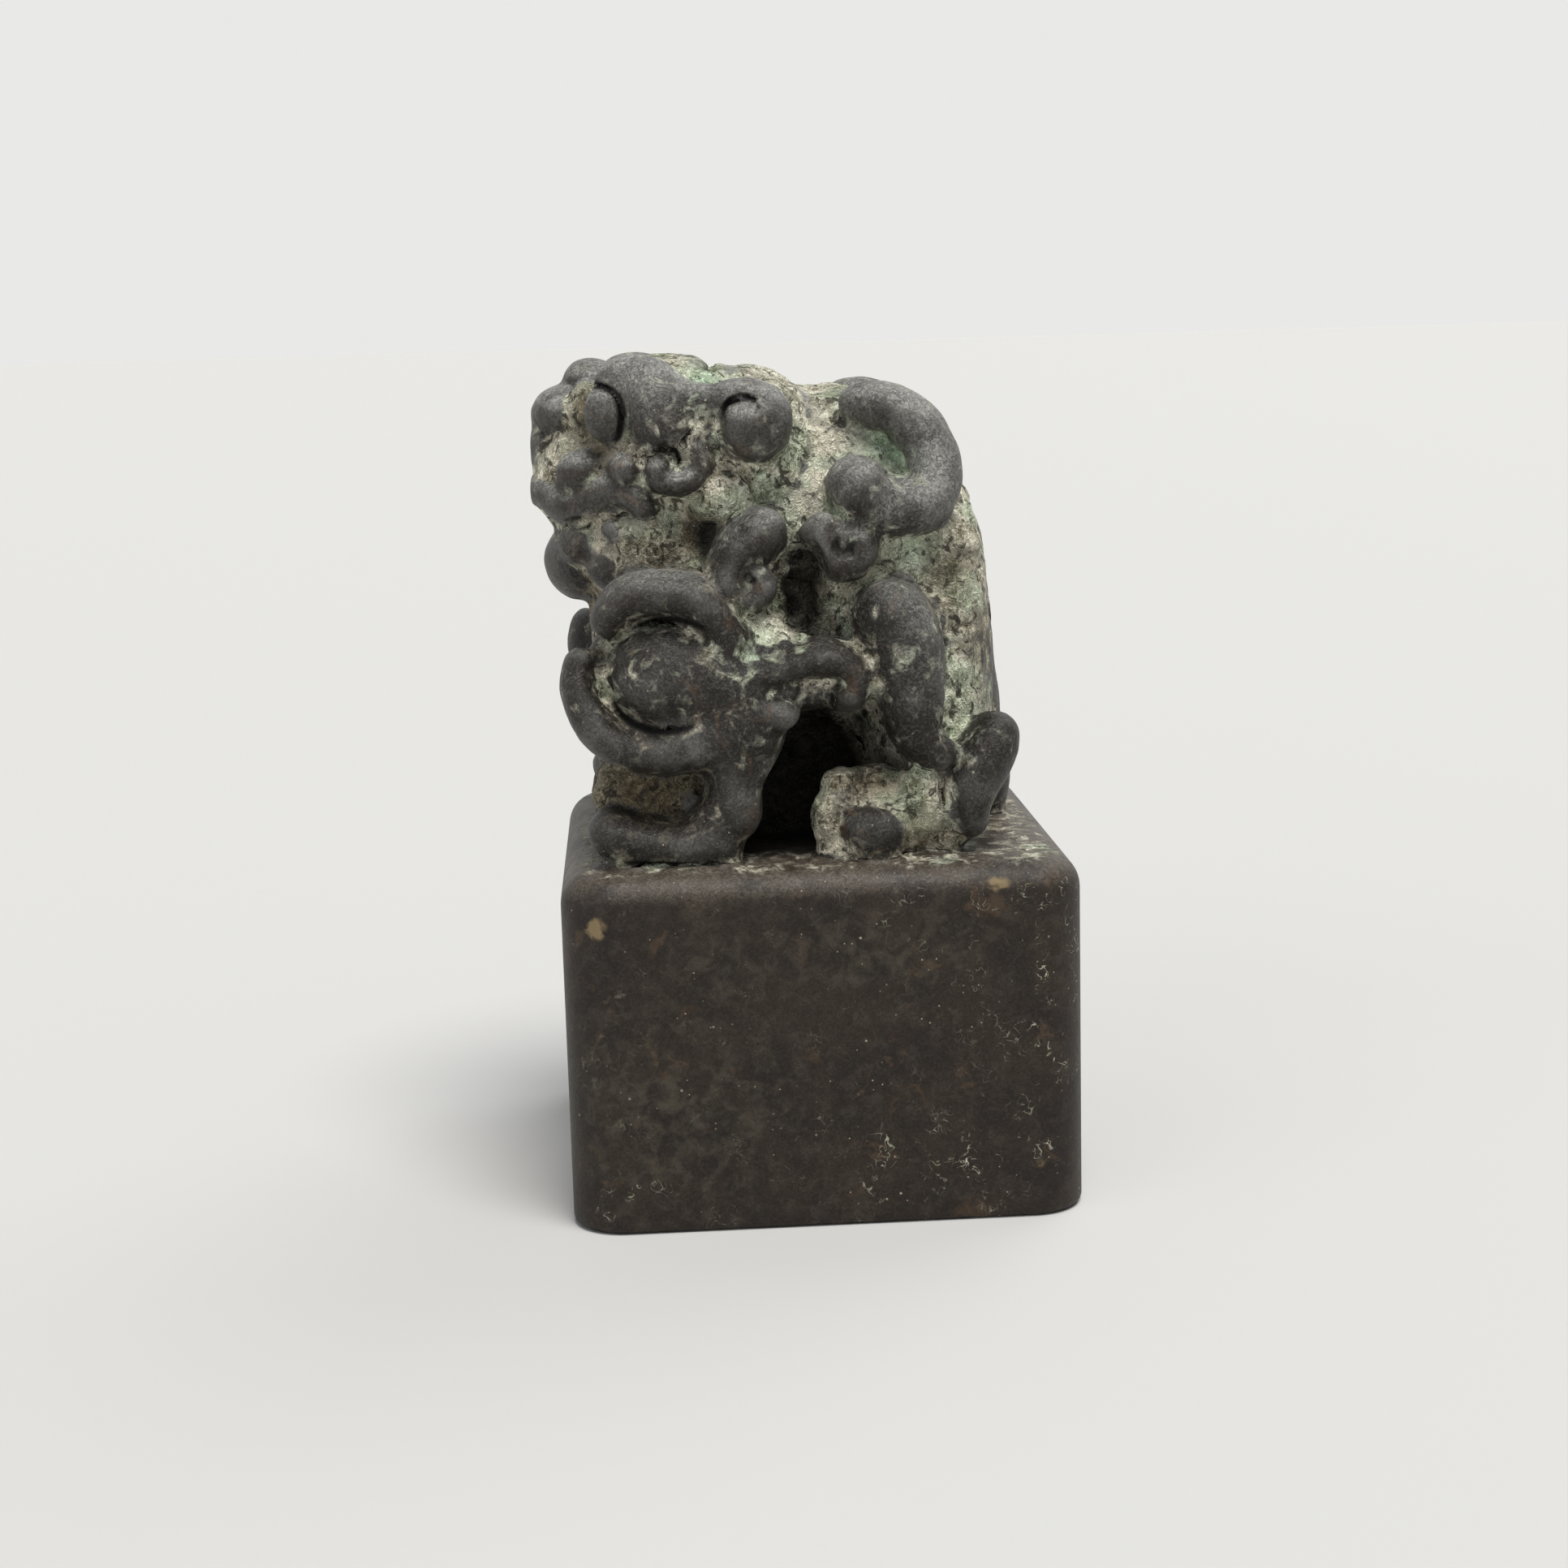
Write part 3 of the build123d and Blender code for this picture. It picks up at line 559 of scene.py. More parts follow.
cuff = {
    "path": [(-0.435, -0.345, 0.435), (-0.45, -0.36, 0.38), (-0.445, -0.38, 0.335),
             (-0.42, -0.395, 0.285), (-0.38, -0.405, 0.25), (-0.32, -0.41, 0.23), (-0.26, -0.41, 0.23),
             (-0.21, -0.41, 0.25)],
    "radius": 1.0, "taper": [0.65, 0.95, 1.0, 1.05, 1.1, 1.1, 1.0], "depth": 1.9, "melt": 0.35,
}
addRoll("cuff", **cuff)
elbowFlame = {
    "path": [(-0.14, -0.37, 0.36), (-0.09, -0.38, 0.38), (-0.04, -0.385, 0.395), (0.01, -0.395, 0.405),
             (0.05, -0.4, 0.395), (0.075, -0.4, 0.36), (0.065, -0.405, 0.33), (0.035, -0.405, 0.325)],
    "radius": 1.05, "taper": [1.2, 1.15, 1.05, 1.0, 0.9, 0.8, 0.75], "depth": 2.0, "melt": 0.4,
}
addRoll("elbow_flame", **elbowFlame)
elbowKnob = {"centre": (-0.08, -0.405, 0.3), "radii": (1.188, 1.235, 0.76), "melt": 0.4}
addLump("elbow_knob", **elbowKnob)
foreleg = {
    "path": [(-0.165, -0.345, 0.385), (-0.14, -0.36, 0.32), (-0.135, -0.375, 0.26), (-0.15, -0.385, 0.205),
             (-0.16, -0.39, 0.155), (-0.16, -0.39, 0.1), (-0.155, -0.39, 0.045)],
    "radius": 1.35, "taper": [1.2, 1.45, 1.45, 1.15, 0.95, 0.95, 1.05], "depth": 1.2, "melt": 0.7,
}
addRoll("foreleg", **foreleg)
forefoot = {
    "path": [(-0.435, -0.395, 0.1), (-0.4, -0.4, 0.07), (-0.34, -0.405, 0.05), (-0.28, -0.405, 0.045),
             (-0.22, -0.405, 0.045), (-0.15, -0.4, 0.04)],
    "radius": 1.0, "taper": [1.15, 1.2, 1.0, 1.0, 1.1], "depth": 1.7, "melt": 0.3,
}
addRoll("forefoot", **forefoot)
thigh = {
    "path": [(0.1, -0.345, 0.515), (0.14, -0.35, 0.485), (0.17, -0.36, 0.43), (0.18, -0.37, 0.36),
             (0.185, -0.38, 0.295), (0.195, -0.385, 0.245), (0.23, -0.39, 0.21), (0.26, -0.39, 0.195)],
    "radius": 1.85, "taper": [0.85, 1.05, 1.05, 0.95, 0.8, 0.6, 0.35], "depth": 1.3, "melt": 0.7,
}
addRoll("thigh", **thigh)
hock = {
    "path": [(0.355, -0.335, 0.27), (0.345, -0.35, 0.225), (0.32, -0.365, 0.18), (0.3, -0.37, 0.135),
             (0.29, -0.37, 0.085), (0.295, -0.37, 0.03)],
    "radius": 1.4, "taper": [0.7, 1.0, 1.05, 0.9, 0.75, 0.7], "depth": 1.5, "melt": 0.5,
}
addRoll("hock", **hock)
hindFoot = {"centre": (0.17, -0.34, 0.075), "radii": (2.6, 1.8, 1.65), "melt": 0.9}
addLump("hind_foot", **hindFoot)
hindToe = {"centre": (0.1, -0.415, 0.06), "radii": (1.5, 1.05, 1.15), "tilt": 25.0, "melt": 0.3}
addLump("hind_toe", **hindToe)
innerToe = {"centre": (0.02, -0.365, 0.075), "radii": (0.72, 0.99, 1.215), "melt": 0.4}
addLump("inner_toe", **innerToe)
tail = {
    "path": [(0.345, 0.0, 0.0), (0.34, 0.0, 0.1), (0.305, 0.0, 0.24), (0.285, 0.0, 0.36),
             (0.27, 0.0, 0.465), (0.24, 0.0, 0.56), (0.2, 0.0, 0.63)],
    "radius": 2.5, "taper": [0.75, 0.85, 1.0, 1.0, 0.9, 0.6], "depth": 0.6,
    "heart": (0.0, 0.0, 0.3), "melt": 0.8,
}
addRoll("tail", **tail)

# wax pressed in between the pieces above: it belongs to the piece it is named for
fillings = {
    "foreleg": [
        {"centre": (-0.185, -0.335, 0.35), "radii": (2.4, 2.7, 2.7), "melt": 0.9},
        {"centre": (-0.195, -0.345, 0.255), "radii": (2.2, 2.5, 1.6), "melt": 0.9},
        {"centre": (-0.235, -0.345, 0.37), "radii": (1.5, 2.3, 1.7), "melt": 0.9},
        {"centre": (-0.35, -0.28, 0.36), "radii": (2.2, 2.2, 3.2), "melt": 0.5},
        {"centre": (-0.195, -0.38, 0.075), "radii": (1.3, 1.4, 1.5), "melt": 0.9},
    ],
    "elbow_flame": [
        {"centre": (-0.025, -0.32, 0.335), "radii": (2.6, 1.9, 1.0), "melt": 0.6},
        {"centre": (-0.1, -0.305, 0.415), "radii": (2.0, 1.8, 1.6), "melt": 1.0},
    ],
    "brow": [
        {"centre": (-0.23, -0.255, 0.83), "radii": (1.3, 1.1, 1.3), "melt": 0.5},
        {"centre": (-0.2, -0.26, 0.875), "radii": (1.0, 1.0, 1.5), "melt": 0.6},
        {"centre": (-0.215, -0.265, 0.91), "radii": (1.2, 0.9, 0.8), "melt": 0.6},
    ],
    "chin": [
        {"centre": (-0.44, -0.17, 0.625), "radii": (1.1, 1.2, 1.0), "melt": 0.5},
        {"centre": (-0.36, -0.21, 0.58), "radii": (1.7, 1.4, 1.2), "melt": 0.6},
    ],
    "nose_bridge": [{"centre": (-0.415, -0.11, 0.885), "radii": (1.0, 1.7, 1.3), "melt": 0.5}],
    "ear_roll": [{"centre": (-0.1, -0.29, 0.865), "radii": (1.6, 1.75, 1.5), "melt": 0.6}],
    "small_curl": [{"centre": (0.055, -0.33, 0.61), "radii": (1.45, 1.1, 1.45), "melt": 0.3}],
    "long_lock": [{"centre": (-0.115, -0.33, 0.56), "radii": (1.0, 1.0, 0.9), "melt": 0.3}],
    "inner_toe": [
        {"centre": (0.11, -0.32, 0.12), "radii": (1.9, 1.7, 1.2), "melt": 0.7},
        {"centre": (0.035, -0.34, 0.07), "radii": (0.9, 1.4, 1.6), "melt": 0.5},
        {"centre": (0.07, -0.335, 0.08), "radii": (1.3, 1.5, 1.9), "melt": 0.6},
    ],
    "hind_foot": [
        {"centre": (0.055, -0.34, 0.135), "radii": (1.1, 1.0, 0.8), "tilt": 30, "melt": 0.35},
        {"centre": (0.2, -0.375, 0.11), "radii": (1.0, 0.9, 1.7), "tilt": -15, "melt": 0.35},
        {"centre": (0.245, -0.355, 0.055), "radii": (0.9, 0.9, 1.2), "melt": 0.3},
        {"centre": (0.055, -0.37, 0.02), "radii": (1.3, 1.0, 0.7), "melt": 0.3},
    ],
    "chest": [{"centre": (-0.325, -0.26, 0.125), "radii": (2.6, 2.2, 2.4), "melt": 0.8}],
    "rump": [
        {"centre": (0.28, -0.26, 0.595), "radii": (1.2, 1.0, 1.6), "melt": 0.6},
        {"centre": (0.285, -0.27, 0.48), "radii": (1.2, 1.0, 1.8), "melt": 0.6},
    ],
}
fillNames = []
for owner, pieces in fillings.items():
    for number, filling in enumerate(pieces):
        fillNames.append(f"{owner}_fill{number}")
        addLump(fillNames[-1], **filling)

# hollows pushed into the wax, and slits scribed in it with a blade that stands square to the side
hollows = [
    {"centre": (-0.015, -0.34, 0.535), "radii": (1.05, 3.4, 2.5), "tilt": 8, "melt": 0.45},
    {"centre": (0.125, -0.42, 0.145), "radii": (0.5, 1.6, 0.45), "tilt": 35, "melt": 0.25},
    {"centre": (0.165, -0.43, 0.03), "radii": (0.3, 1.3, 0.8), "melt": 0.25},
    {"centre": (0.235, -0.42, 0.12), "radii": (0.28, 1.3, 0.9), "tilt": -10, "melt": 0.25},
    {"centre": (-0.44, -0.215, 0.675), "radii": (0.65, 1.2, 0.3), "melt": 0.15},
    {"centre": (-0.355, -0.26, 0.69), "radii": (0.55, 0.9, 0.22), "melt": 0.12},
    {"centre": (-0.17, 0.0, 0.99), "radii": (0.45, 6.5, 0.75), "melt": 0.4},
    {"centre": (-0.17, -0.34, 0.85), "radii": (0.3, 1.0, 1.2), "melt": 0.3},
]
slits = {
    "eyeSlit": {"path": [(-0.43, -0.23, 0.92), (-0.415, -0.24, 0.94), (-0.39, -0.25, 0.945),
                         (-0.365, -0.26, 0.935), (-0.35, -0.265, 0.915), (-0.35, -0.27, 0.875),
                         (-0.36, -0.27, 0.84), (-0.375, -0.26, 0.83)], "radius": 0.15, "depth": 7},
    "earSlit": {"path": [(-0.16, -0.325, 0.875), (-0.155, -0.325, 0.9), (-0.13, -0.33, 0.915),
                         (-0.105, -0.335, 0.915), (-0.09, -0.335, 0.895)], "radius": 0.14, "depth": 8},
    "templeSlit": {"path": [(-0.295, -0.3, 0.815), (-0.275, -0.305, 0.82), (-0.25, -0.31, 0.815),
                            (-0.245, -0.315, 0.8), (-0.245, -0.315, 0.785)], "radius": 0.13, "depth": 6},
    "neckPit": {"path": [(-0.05, -0.31, 0.74), (-0.05, -0.31, 0.73)], "radius": 0.18, "depth": 5},
    "shoulderSlit": {"path": [(-0.38, -0.39, 0.445), (-0.35, -0.4, 0.47), (-0.305, -0.41, 0.485),
                              (-0.25, -0.415, 0.49), (-0.21, -0.415, 0.475)], "radius": 0.16, "depth": 8},
    "ballSlit": {"path": [(-0.395, -0.38, 0.36), (-0.375, -0.4, 0.315), (-0.335, -0.415, 0.285),
                          (-0.28, -0.42, 0.275), (-0.24, -0.43, 0.285)], "radius": 0.13, "depth": 7},
    "curlSlit": {"path": [(0.105, -0.37, 0.785), (0.13, -0.37, 0.78), (0.15, -0.375, 0.765)],
                 "radius": 0.13, "depth": 6},
    "browCrack": {"path": [(-0.43, -0.14, 0.965), (-0.4, -0.15, 0.98), (-0.36, -0.16, 0.99)],
                  "radius": 0.1, "depth": 9},
    "domeCrack": {"path": [(-0.27, -0.19, 0.99), (-0.225, -0.215, 0.98), (-0.185, -0.23, 0.955)],
                  "radius": 0.1, "depth": 9},
    "hockSlit": {"path": [(0.39, -0.32, 0.19), (0.4, -0.32, 0.16)], "radius": 0.12, "depth": 8},
    "heelSlit": {"path": [(0.37, -0.345, 0.14), (0.38, -0.345, 0.105)], "radius": 0.12, "depth": 8},
    "lockEye": {"path": [(-0.125, -0.37, 0.57), (-0.11, -0.37, 0.56)], "radius": 0.17, "depth": 5},
    "curlEye": {"path": [(0.05, -0.37, 0.64), (0.045, -0.37, 0.615), (0.06, -0.37, 0.605),
                         (0.075, -0.37, 0.615), (0.075, -0.37, 0.63)], "radius": 0.14, "depth": 5},
    "footSlit": {"path": [(-0.375, -0.425, 0.02), (-0.28, -0.43, 0.01), (-0.19, -0.425, 0.01)],
                 "radius": 0.14, "depth": 6},
    "mouthHole": {"path": [(-0.455, -0.2, 0.675), (-0.43, -0.21, 0.67)], "radius": 0.2, "depth": 5},
}

# the order in which the wax pieces are laid on the trunk, and those on which the crust has grown
order = ["chest", "rump", "belly", "mane", "skull", "throat", "muzzle", "chin", "forehead_knob",
         "nose_bridge", "nose_tip", "tail", "jowl", "brow", "nostril", "cheek_bead", "eye", "upper_lip",
         "fang", "temple_curl", "ear_roll", "ear_bead", "long_lock", "small_curl", "back_curl", "thigh",
         "hock", "hind_foot", "hind_toe", "inner_toe", "foreleg", "forefoot", "shoulder_roll", "cuff",
         "elbow_flame", "elbow_knob", "shoulder_ball"]
crustedNames = ["chest", "rump", "belly", "mane", "skull", "throat", "muzzle", "hind_foot", "inner_toe",
                "jowl"]
crustedFills = ["nose_bridge_fill0", "elbow_flame_fill1"]

layMass(torsoDistance, skin["high"][2], torso["melt"], True)
for name in order + fillNames:
    layPiece(name, name.split("_fill")[0] in crustedNames or name in crustedFills)
layMass(blockDistance, block["top"] + block["reach"], block["melt"])
report("pieces laid")


# the mean over a box round each grid point, three times over, which is nearly a soft round brush
def brushed(field, cells):
    for _ in range(3):
        for axis in range(3):
            pad = [(0, 0)] * 3
            pad[axis] = (cells + 1, cells)
            summed = np.cumsum(np.pad(field, pad, mode="edge"), axis=axis, dtype=np.float32)
            length = field.shape[axis]
            high = np.take(summed, np.arange(length) + 2 * cells + 1, axis=axis)
            low = np.take(summed, np.arange(length), axis=axis)
            field = (high - low) / (2 * cells + 1)
    return field


# melting wax loses its faint ribs
soft = brushed(soft, 1)


# taking a shape out of the skin leaves a soft edge as wide as the melt
def takeOut(cuts, field, melt):
    soft[cuts] = -melted(-soft[cuts], field, melt)


hollowReach = 4.2                                # no hollow reaches further from its centre
# the blade's taper, its melt, how far out it starts, and how far from a slit the painted shade reaches
blade = {"taper": [0.5, 1.0, 1.0, 0.5], "melt": 0.12, "start": 0.5, "dark": 0.16}
scored = np.full(gridShape, far, np.float32)     # how far the nearest slit is
for number, hollow in enumerate(hollows):
    addLump(f"hollow{number}", **hollow)
    shape = lumps[f"hollow{number}"]
    cuts, x, y, z = patch(shape["centre"] - hollowReach, shape["centre"] + hollowReach)
    takeOut(cuts, lumpDistance(shape, x, y, z), shape["melt"])
for name, slit in slits.items():
    addRoll(name, slit["path"], slit["radius"], blade["taper"], slit["depth"], melt=blade["melt"])
    rolls[name]["line"][:, 1] -= blade["start"]
    cuts, field = rollField(rolls[name])
    takeOut(cuts, field, blade["melt"])
    scored[cuts] = np.minimum(scored[cuts], field)
report("slits cut")

# Corrosion has filled the hollows part way with a lumpy crust, and the hand has left the wax uneven.
# The brushes measure hollows at two sizes. The crust sets in between two values of the hollow, or
# between two distances from the body, and lifts the skin by its thickness. It and the hills start near
# the block's top. The hills are pairs of spacing and height.
wear = {
    "fineBrush": 0.2, "broadBrush": 0.6, "hollow": (0.54, 0.72), "body": (0.55, 0.15), "bodyShare": 0.9,
    "crustRim": (-0.3, 0.6), "hillRim": (0.1, 1.0), "thickness": 0.14, "seed": 7,
    "skinHills": [(2.6, 0.075), (1.1, 0.045), (0.5, 0.02)], "crustHills": [(1.0, 0.2), (0.45, 0.15)],
}
filled = np.clip(0.5 - soft / (2 * skin["step"]), 0, 1)
fine = brushed(filled, max(1, round(wear["fineBrush"] / skin["step"])))
broad = brushed(filled, max(2, round(wear["broadBrush"] / skin["step"])))
chance = np.random.default_rng(wear["seed"])


# the share of the way from low to high, never under 0 or over 1
def ease(value, low, high):
    return np.clip((value - low) / (high - low), 0, 1)


# soft random hills: a coarse lattice of numbers, read off between its points with eased steps
def hills(spacing):
    sizes = [int((axis[-1] - axis[0]) / spacing) + 3 for axis in axes]
    field = chance.uniform(-1, 1, sizes).astype(np.float32)
    for i, axis in enumerate(axes):
        spot = (axis - axis[0]) / spacing
        at = spot.astype(int)
        part = spot - at
        part = (part * part * (3 - 2 * part)).astype(np.float32)
        part = part.reshape([-1 if j == i else 1 for j in range(3)])
        field = np.take(field, at, axis=i) * (1 - part) + np.take(field, at + 1, axis=i) * part
    return field


above = np.broadcast_to(axes[2], gridShape) - block["top"]
crust = np.maximum(ease(broad, *wear["hollow"]), wear["bodyShare"] * ease(ground, *wear["body"]))
crust = crust * ease(above, *wear["crustRim"])
beast = ease(above, *wear["hillRim"])
soft = soft - wear["thickness"] * crust
soft += beast * sum(height * hills(spacing) for spacing, height in wear["skinHills"])
soft += crust * sum(height * hills(spacing) for spacing, height in wear["crustHills"])
slope = np.gradient(soft, skin["step"])
report("slopes and hollows worked out")


# a piece on the far side is the near one with Y turned round and its faces wound the other way
def mirrored(part):
    points, quads, fans, normals, fields = part
    flip = np.array([1, -1, 1])
    return points * flip, quads[:, ::-1], fans[:, ::-1], normals * flip, fields


# the signs that turn far points over onto the near half, and back
def foldSigns(points):
    return np.where(points[:, 1] < 0.4, 1, -1)[:, None] ** np.array([0, 1, 0])


# x as a share of the width, and z as a share of the beast's height above the block
def sideShares(points):
    return points[:, 0] / seal["width"], (points[:, 2] - seal["blockHeight"]) / seal["beastHeight"]


# painted shade where shade falls in the recesses, as ovals seen from the side: x and z share of the middle,
# x and z share of the size, the rim's softness, and how far from the middle plane it ends and how far it is
# full
shadeOvals = {
    "arch": [(-0.04, 0.06), (0.17, 0.27), 0.3, (9.0, 7.0)],
    "flank": [(-0.01, 0.54), (0.06, 0.12), 0.5, (7.6, 6.4)],
    "throatSide": [(-0.19, 0.635), (0.03, 0.06), 0.7, (8.2, 7.2)],
}


# how deep a point lies in the painted shade between the legs and in the other recesses, from 0 to 1
def shadeOvalShare(points):
    x, z = sideShares(points)
    total = np.zeros(len(points))
    for (middle, height), (wide, tall), rim, (end, full) in shadeOvals.values():
        oval = ease(1 - ((x - middle) / wide) ** 2 - ((z - height) / tall) ** 2, 0.0, rim)
        total = np.maximum(total, oval * ease(-np.abs(points[:, 1]), -end, -full))
    return total


# soft oval patches on the sides: x and z share of the middle, x and z share of the size, and strength
patches = {
    "pale": [(0.23, 0.77, 0.05, 0.12, 0.9), (0.16, 0.69, 0.08, 0.04, 0.45), (-0.31, 0.97, 0.09, 0.06, 0.6),
             (-0.12, 0.95, 0.08, 0.05, 0.5), (0.06, 0.82, 0.07, 0.08, 0.7), (0.24, 0.55, 0.07, 0.15, 0.5)],
    "mint": [(0.12, 0.9, 0.05, 0.04, 0.7), (-0.06, 0.66, 0.05, 0.05, 0.6), (0.2, 0.6, 0.06, 0.06, 0.6),
             (0.17, 0.81, 0.06, 0.08, 0.95), (-0.19, 0.94, 0.05, 0.05, 0.9), (-0.12, 0.42, 0.06, 0.06, 0.7),
             (-0.09, 0.3, 0.04, 0.05, 0.7), (0.3, 0.25, 0.05, 0.06, 0.5), (-0.05, 0.85, 0.04, 0.08, 0.5)],
    # painted shade patches that darken the crust in recesses and low places
    "dirt": [(0.27, 0.56, 0.05, 0.07, 0.75), (0.34, 0.42, 0.04, 0.1, 0.6), (0.1, 0.15, 0.1, 0.04, 0.8),
             (-0.33, 0.14, 0.2, 0.16, 0.95), (-0.42, 0.9, 0.04, 0.06, 0.9), (-0.22, 0.645, 0.04, 0.08, 0.9),
             (0.16, 0.05, 0.14, 0.07, 0.7), (-0.36, 0.66, 0.14, 0.12, 0.4), (-0.28, 0.56, 0.14, 0.06, 0.8),
             (-0.4, 0.82, 0.08, 0.07, 0.85), (0.02, 0.1, 0.07, 0.1, 0.5), (-0.43, 0.5, 0.06, 0.12, 0.8)],
}
blockPatches = {
    "pale": [(-0.43, -0.1, 0.03, 0.03, 1.0), (0.33, -0.04, 0.035, 0.02, 1.0), (0.4, -0.62, 0.03, 0.03, 0.7)],
    "mint": [(-0.3, -0.48, 0.2, 0.16, 0.8), (0.1, -0.16, 0.18, 0.08, 0.7), (-0.2, -0.2, 0.1, 0.12, 0.5)],
    # on the block these patches only place the winding flecks
    "dirt": [(0.45, -0.3, 0.12, 0.3, 1.0), (0.25, -0.6, 0.25, 0.08, 0.9), (0.3, -0.1, 0.14, 0.06, 0.9),
             (-0.4, -0.66, 0.14, 0.04, 0.6)],
}


# how much of a kind of patch a point has: a bell curve out from each middle, and the largest counts
def patchShare(spots, points):
    x, z = sideShares(points)
    total = np.zeros(len(points), np.float32)
    for middle, height, wide, tall, strength in spots:
        total = np.maximum(total, strength * np.exp(-((x - middle) / wide) ** 2 - ((z - height) / tall) ** 2))
    return total


noseLimit = {"x": -13.2, "give": 0.24}           # the nose is pressed back softly from here
dustAndTopLightHeights = {"from": 25.0, "full": 37.0}              # the heights between which dust and painted top light set in


# a beast's surface settled on the skin, with its slopes and the fields that its colours follow
def finished(surface):
    points, quads, fans = surface
    signs = foldSigns(points)
    placed, normals = settle(points * signs)
    over, give = np.clip(noseLimit["x"] - placed[:, 0], 0, None), noseLimit["give"]
    placed[:, 0] += over - give * (1 - np.exp(-over / give))
    fields = {"hollowFine": gridValue(fine, placed), "hollowBroad": gridValue(broad, placed),
              "slit": 1 - np.clip(gridValue(scored, placed) / blade["dark"], 0, 1), "cave": shadeOvalShare(placed),
              "crust": gridValue(crust, placed),
              "upward": np.clip(normals[:, 2], 0, 1) * ease(placed[:, 2], dustAndTopLightHeights["from"], dustAndTopLightHeights["full"]),
              **{key: patchShare(spots, placed) for key, spots in patches.items()}}
    return placed * signs, quads, fans, normals * signs, fields


# The upper part of the block meets the feet in the common skin, and the rest keeps its own shape. The
# share of the skin grows from nothing to all of it over half a millimetre.
def blockPart():
    points, quads, fans = blockSurface()
    signs, band = foldSigns(points), 0.5
    start = skin["low"][2] + band
    points = points * signs
    upper = points[:, 2] > start
    placed, lean = settle(points[upper])
    share = np.clip((points[:, 2] - start) / band, 0, 1)
    points[upper] += (placed - points[upper]) * share[upper, None]
    normals = np.zeros_like(points)
    normals[upper] = lean * share[upper, None]
    fields = {"hollowFine": 0.5 + (gridValue(fine, points) - 0.5) * share,
              "hollowBroad": 0.5 + (gridValue(broad, points) - 0.5) * share,
              "slit": np.zeros(len(points)), "cave": shadeOvalShare(points), "crust": gridValue(crust, points),
              "upward": np.clip(normals[:, 2], 0, 1),
              **{key: patchShare(spots, points) for key, spots in blockPatches.items()}}
    return points * signs, quads, fans, normals * signs, fields


# the parts of a piece become one mesh with its fields as attributes; where a part has no slope of the
# skin to shade by, the mesh's own normals take over
def makePiece(name, parts, material, nodes):
    allPoints, allQuads, allFans, allNormals, allFields = zip(*parts)
    starts = np.cumsum([0] + [len(points) for points in allPoints])
    points, normals = np.concatenate(allPoints), np.concatenate(allNormals)
    quads, fans = (np.concatenate([faces + start for faces, start in zip(group, starts)]).astype(np.int32)
                   for group in (allQuads, allFans))
    mesh = bpy.data.meshes.new(name)
    mesh.vertices.add(len(points))
    mesh.vertices.foreach_set("co", (points * mm).astype(np.float32).reshape(-1))
    corners = np.concatenate([quads.reshape(-1), fans.reshape(-1)])
    begins = np.concatenate([np.arange(len(quads)) * 4, len(quads) * 4 + np.arange(len(fans)) * 3])
    mesh.loops.add(len(corners))
    mesh.loops.foreach_set("vertex_index", corners)
    mesh.polygons.add(len(begins))
    mesh.polygons.foreach_set("loop_start", begins.astype(np.int32))
    mesh.update(calc_edges=True)
    mesh.polygons.foreach_set("use_smooth", np.ones(len(begins), bool))
    for key in allFields[0]:
        layer = mesh.attributes.new(key, "FLOAT", "POINT")
        values = np.concatenate([fields[key] for fields in allFields])
        layer.data.foreach_set("value", values.astype(np.float32))
    own = np.zeros(len(points) * 3, np.float32)
    mesh.vertices.foreach_get("normal", own)
    normals += own.reshape(-1, 3) * np.clip(1 - np.linalg.norm(normals, axis=1), 0, 1)[:, None]
    mesh.normals_split_custom_set_from_vertices(normals.tolist())
    mesh.materials.append(material)
    piece = bpy.data.objects.new(name, mesh)
    scene.collection.objects.link(piece)
    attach(piece, "root")
    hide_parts(*nodes)
    return piece


# sRGB hex to linear colour: a straight line at the dark end, and a power above it
def linear(code):
    parts = np.array([int(code[i:i + 2], 16) for i in (1, 3, 5)]) / 255
    values = np.where(parts <= 0.04045, parts / 12.92, ((parts + 0.055) / 1.055) ** 2.4)
    return (*(float(value) for value in values), 1.0)


# plain words for the nodes used here: Blender's kind, the sockets filled in order, the output that is
# read, and the settings
nodeKinds = {
    "times": ("ShaderNodeMath", (0, 1), 0, {"operation": "MULTIPLY", "use_clamp": True}),
    "plus": ("ShaderNodeMath", (0, 1), 0, {"operation": "ADD", "use_clamp": True}),
    "minus": ("ShaderNodeMath", (0, 1), 0, {"operation": "SUBTRACT"}),
    "larger": ("ShaderNodeMath", (0, 1), 0, {"operation": "MAXIMUM", "use_clamp": True}),
    "unsigned": ("ShaderNodeMath", (0,), 0, {"operation": "ABSOLUTE", "use_clamp": True}),
    "below": ("ShaderNodeMath", (0, 1), 0, {"operation": "LESS_THAN", "use_clamp": True}),
    "eased": ("ShaderNodeMapRange", (0, 1, 2), 0, {"interpolation_type": "SMOOTHSTEP"}),
    "range": ("ShaderNodeMapRange", (0, 1, 2, 3, 4), 0, {}),
    "blend": ("ShaderNodeMix", (0, 6, 7), 2, {"data_type": "RGBA"}),
    "mix": ("ShaderNodeMix", (0, 2, 3), 0, {}),
    "noise": ("ShaderNodeTexNoise", ("Vector", "Scale", "Detail", "Roughness", "Distortion"), 0, {}),
    "dots": ("ShaderNodeTexVoronoi", ("Vector", "Scale"), "Distance", {}),
    "red": ("ShaderNodeSeparateColor", (0,), 0, {}),
    "height": ("ShaderNodeSeparateXYZ", (0,), 2, {}),
    "field": ("ShaderNodeAttribute", (), "Fac", {}),
    "place": ("ShaderNodeTexCoord", (), "Object", {}),
    "bump": ("ShaderNodeBump", ("Strength", "Distance", "Height"), 0, {}),
    "background": ("ShaderNodeBackground", (0, 1), 0, {}),
    "mixShader": ("ShaderNodeMixShader", (0, 1, 2), 0, {}),
}


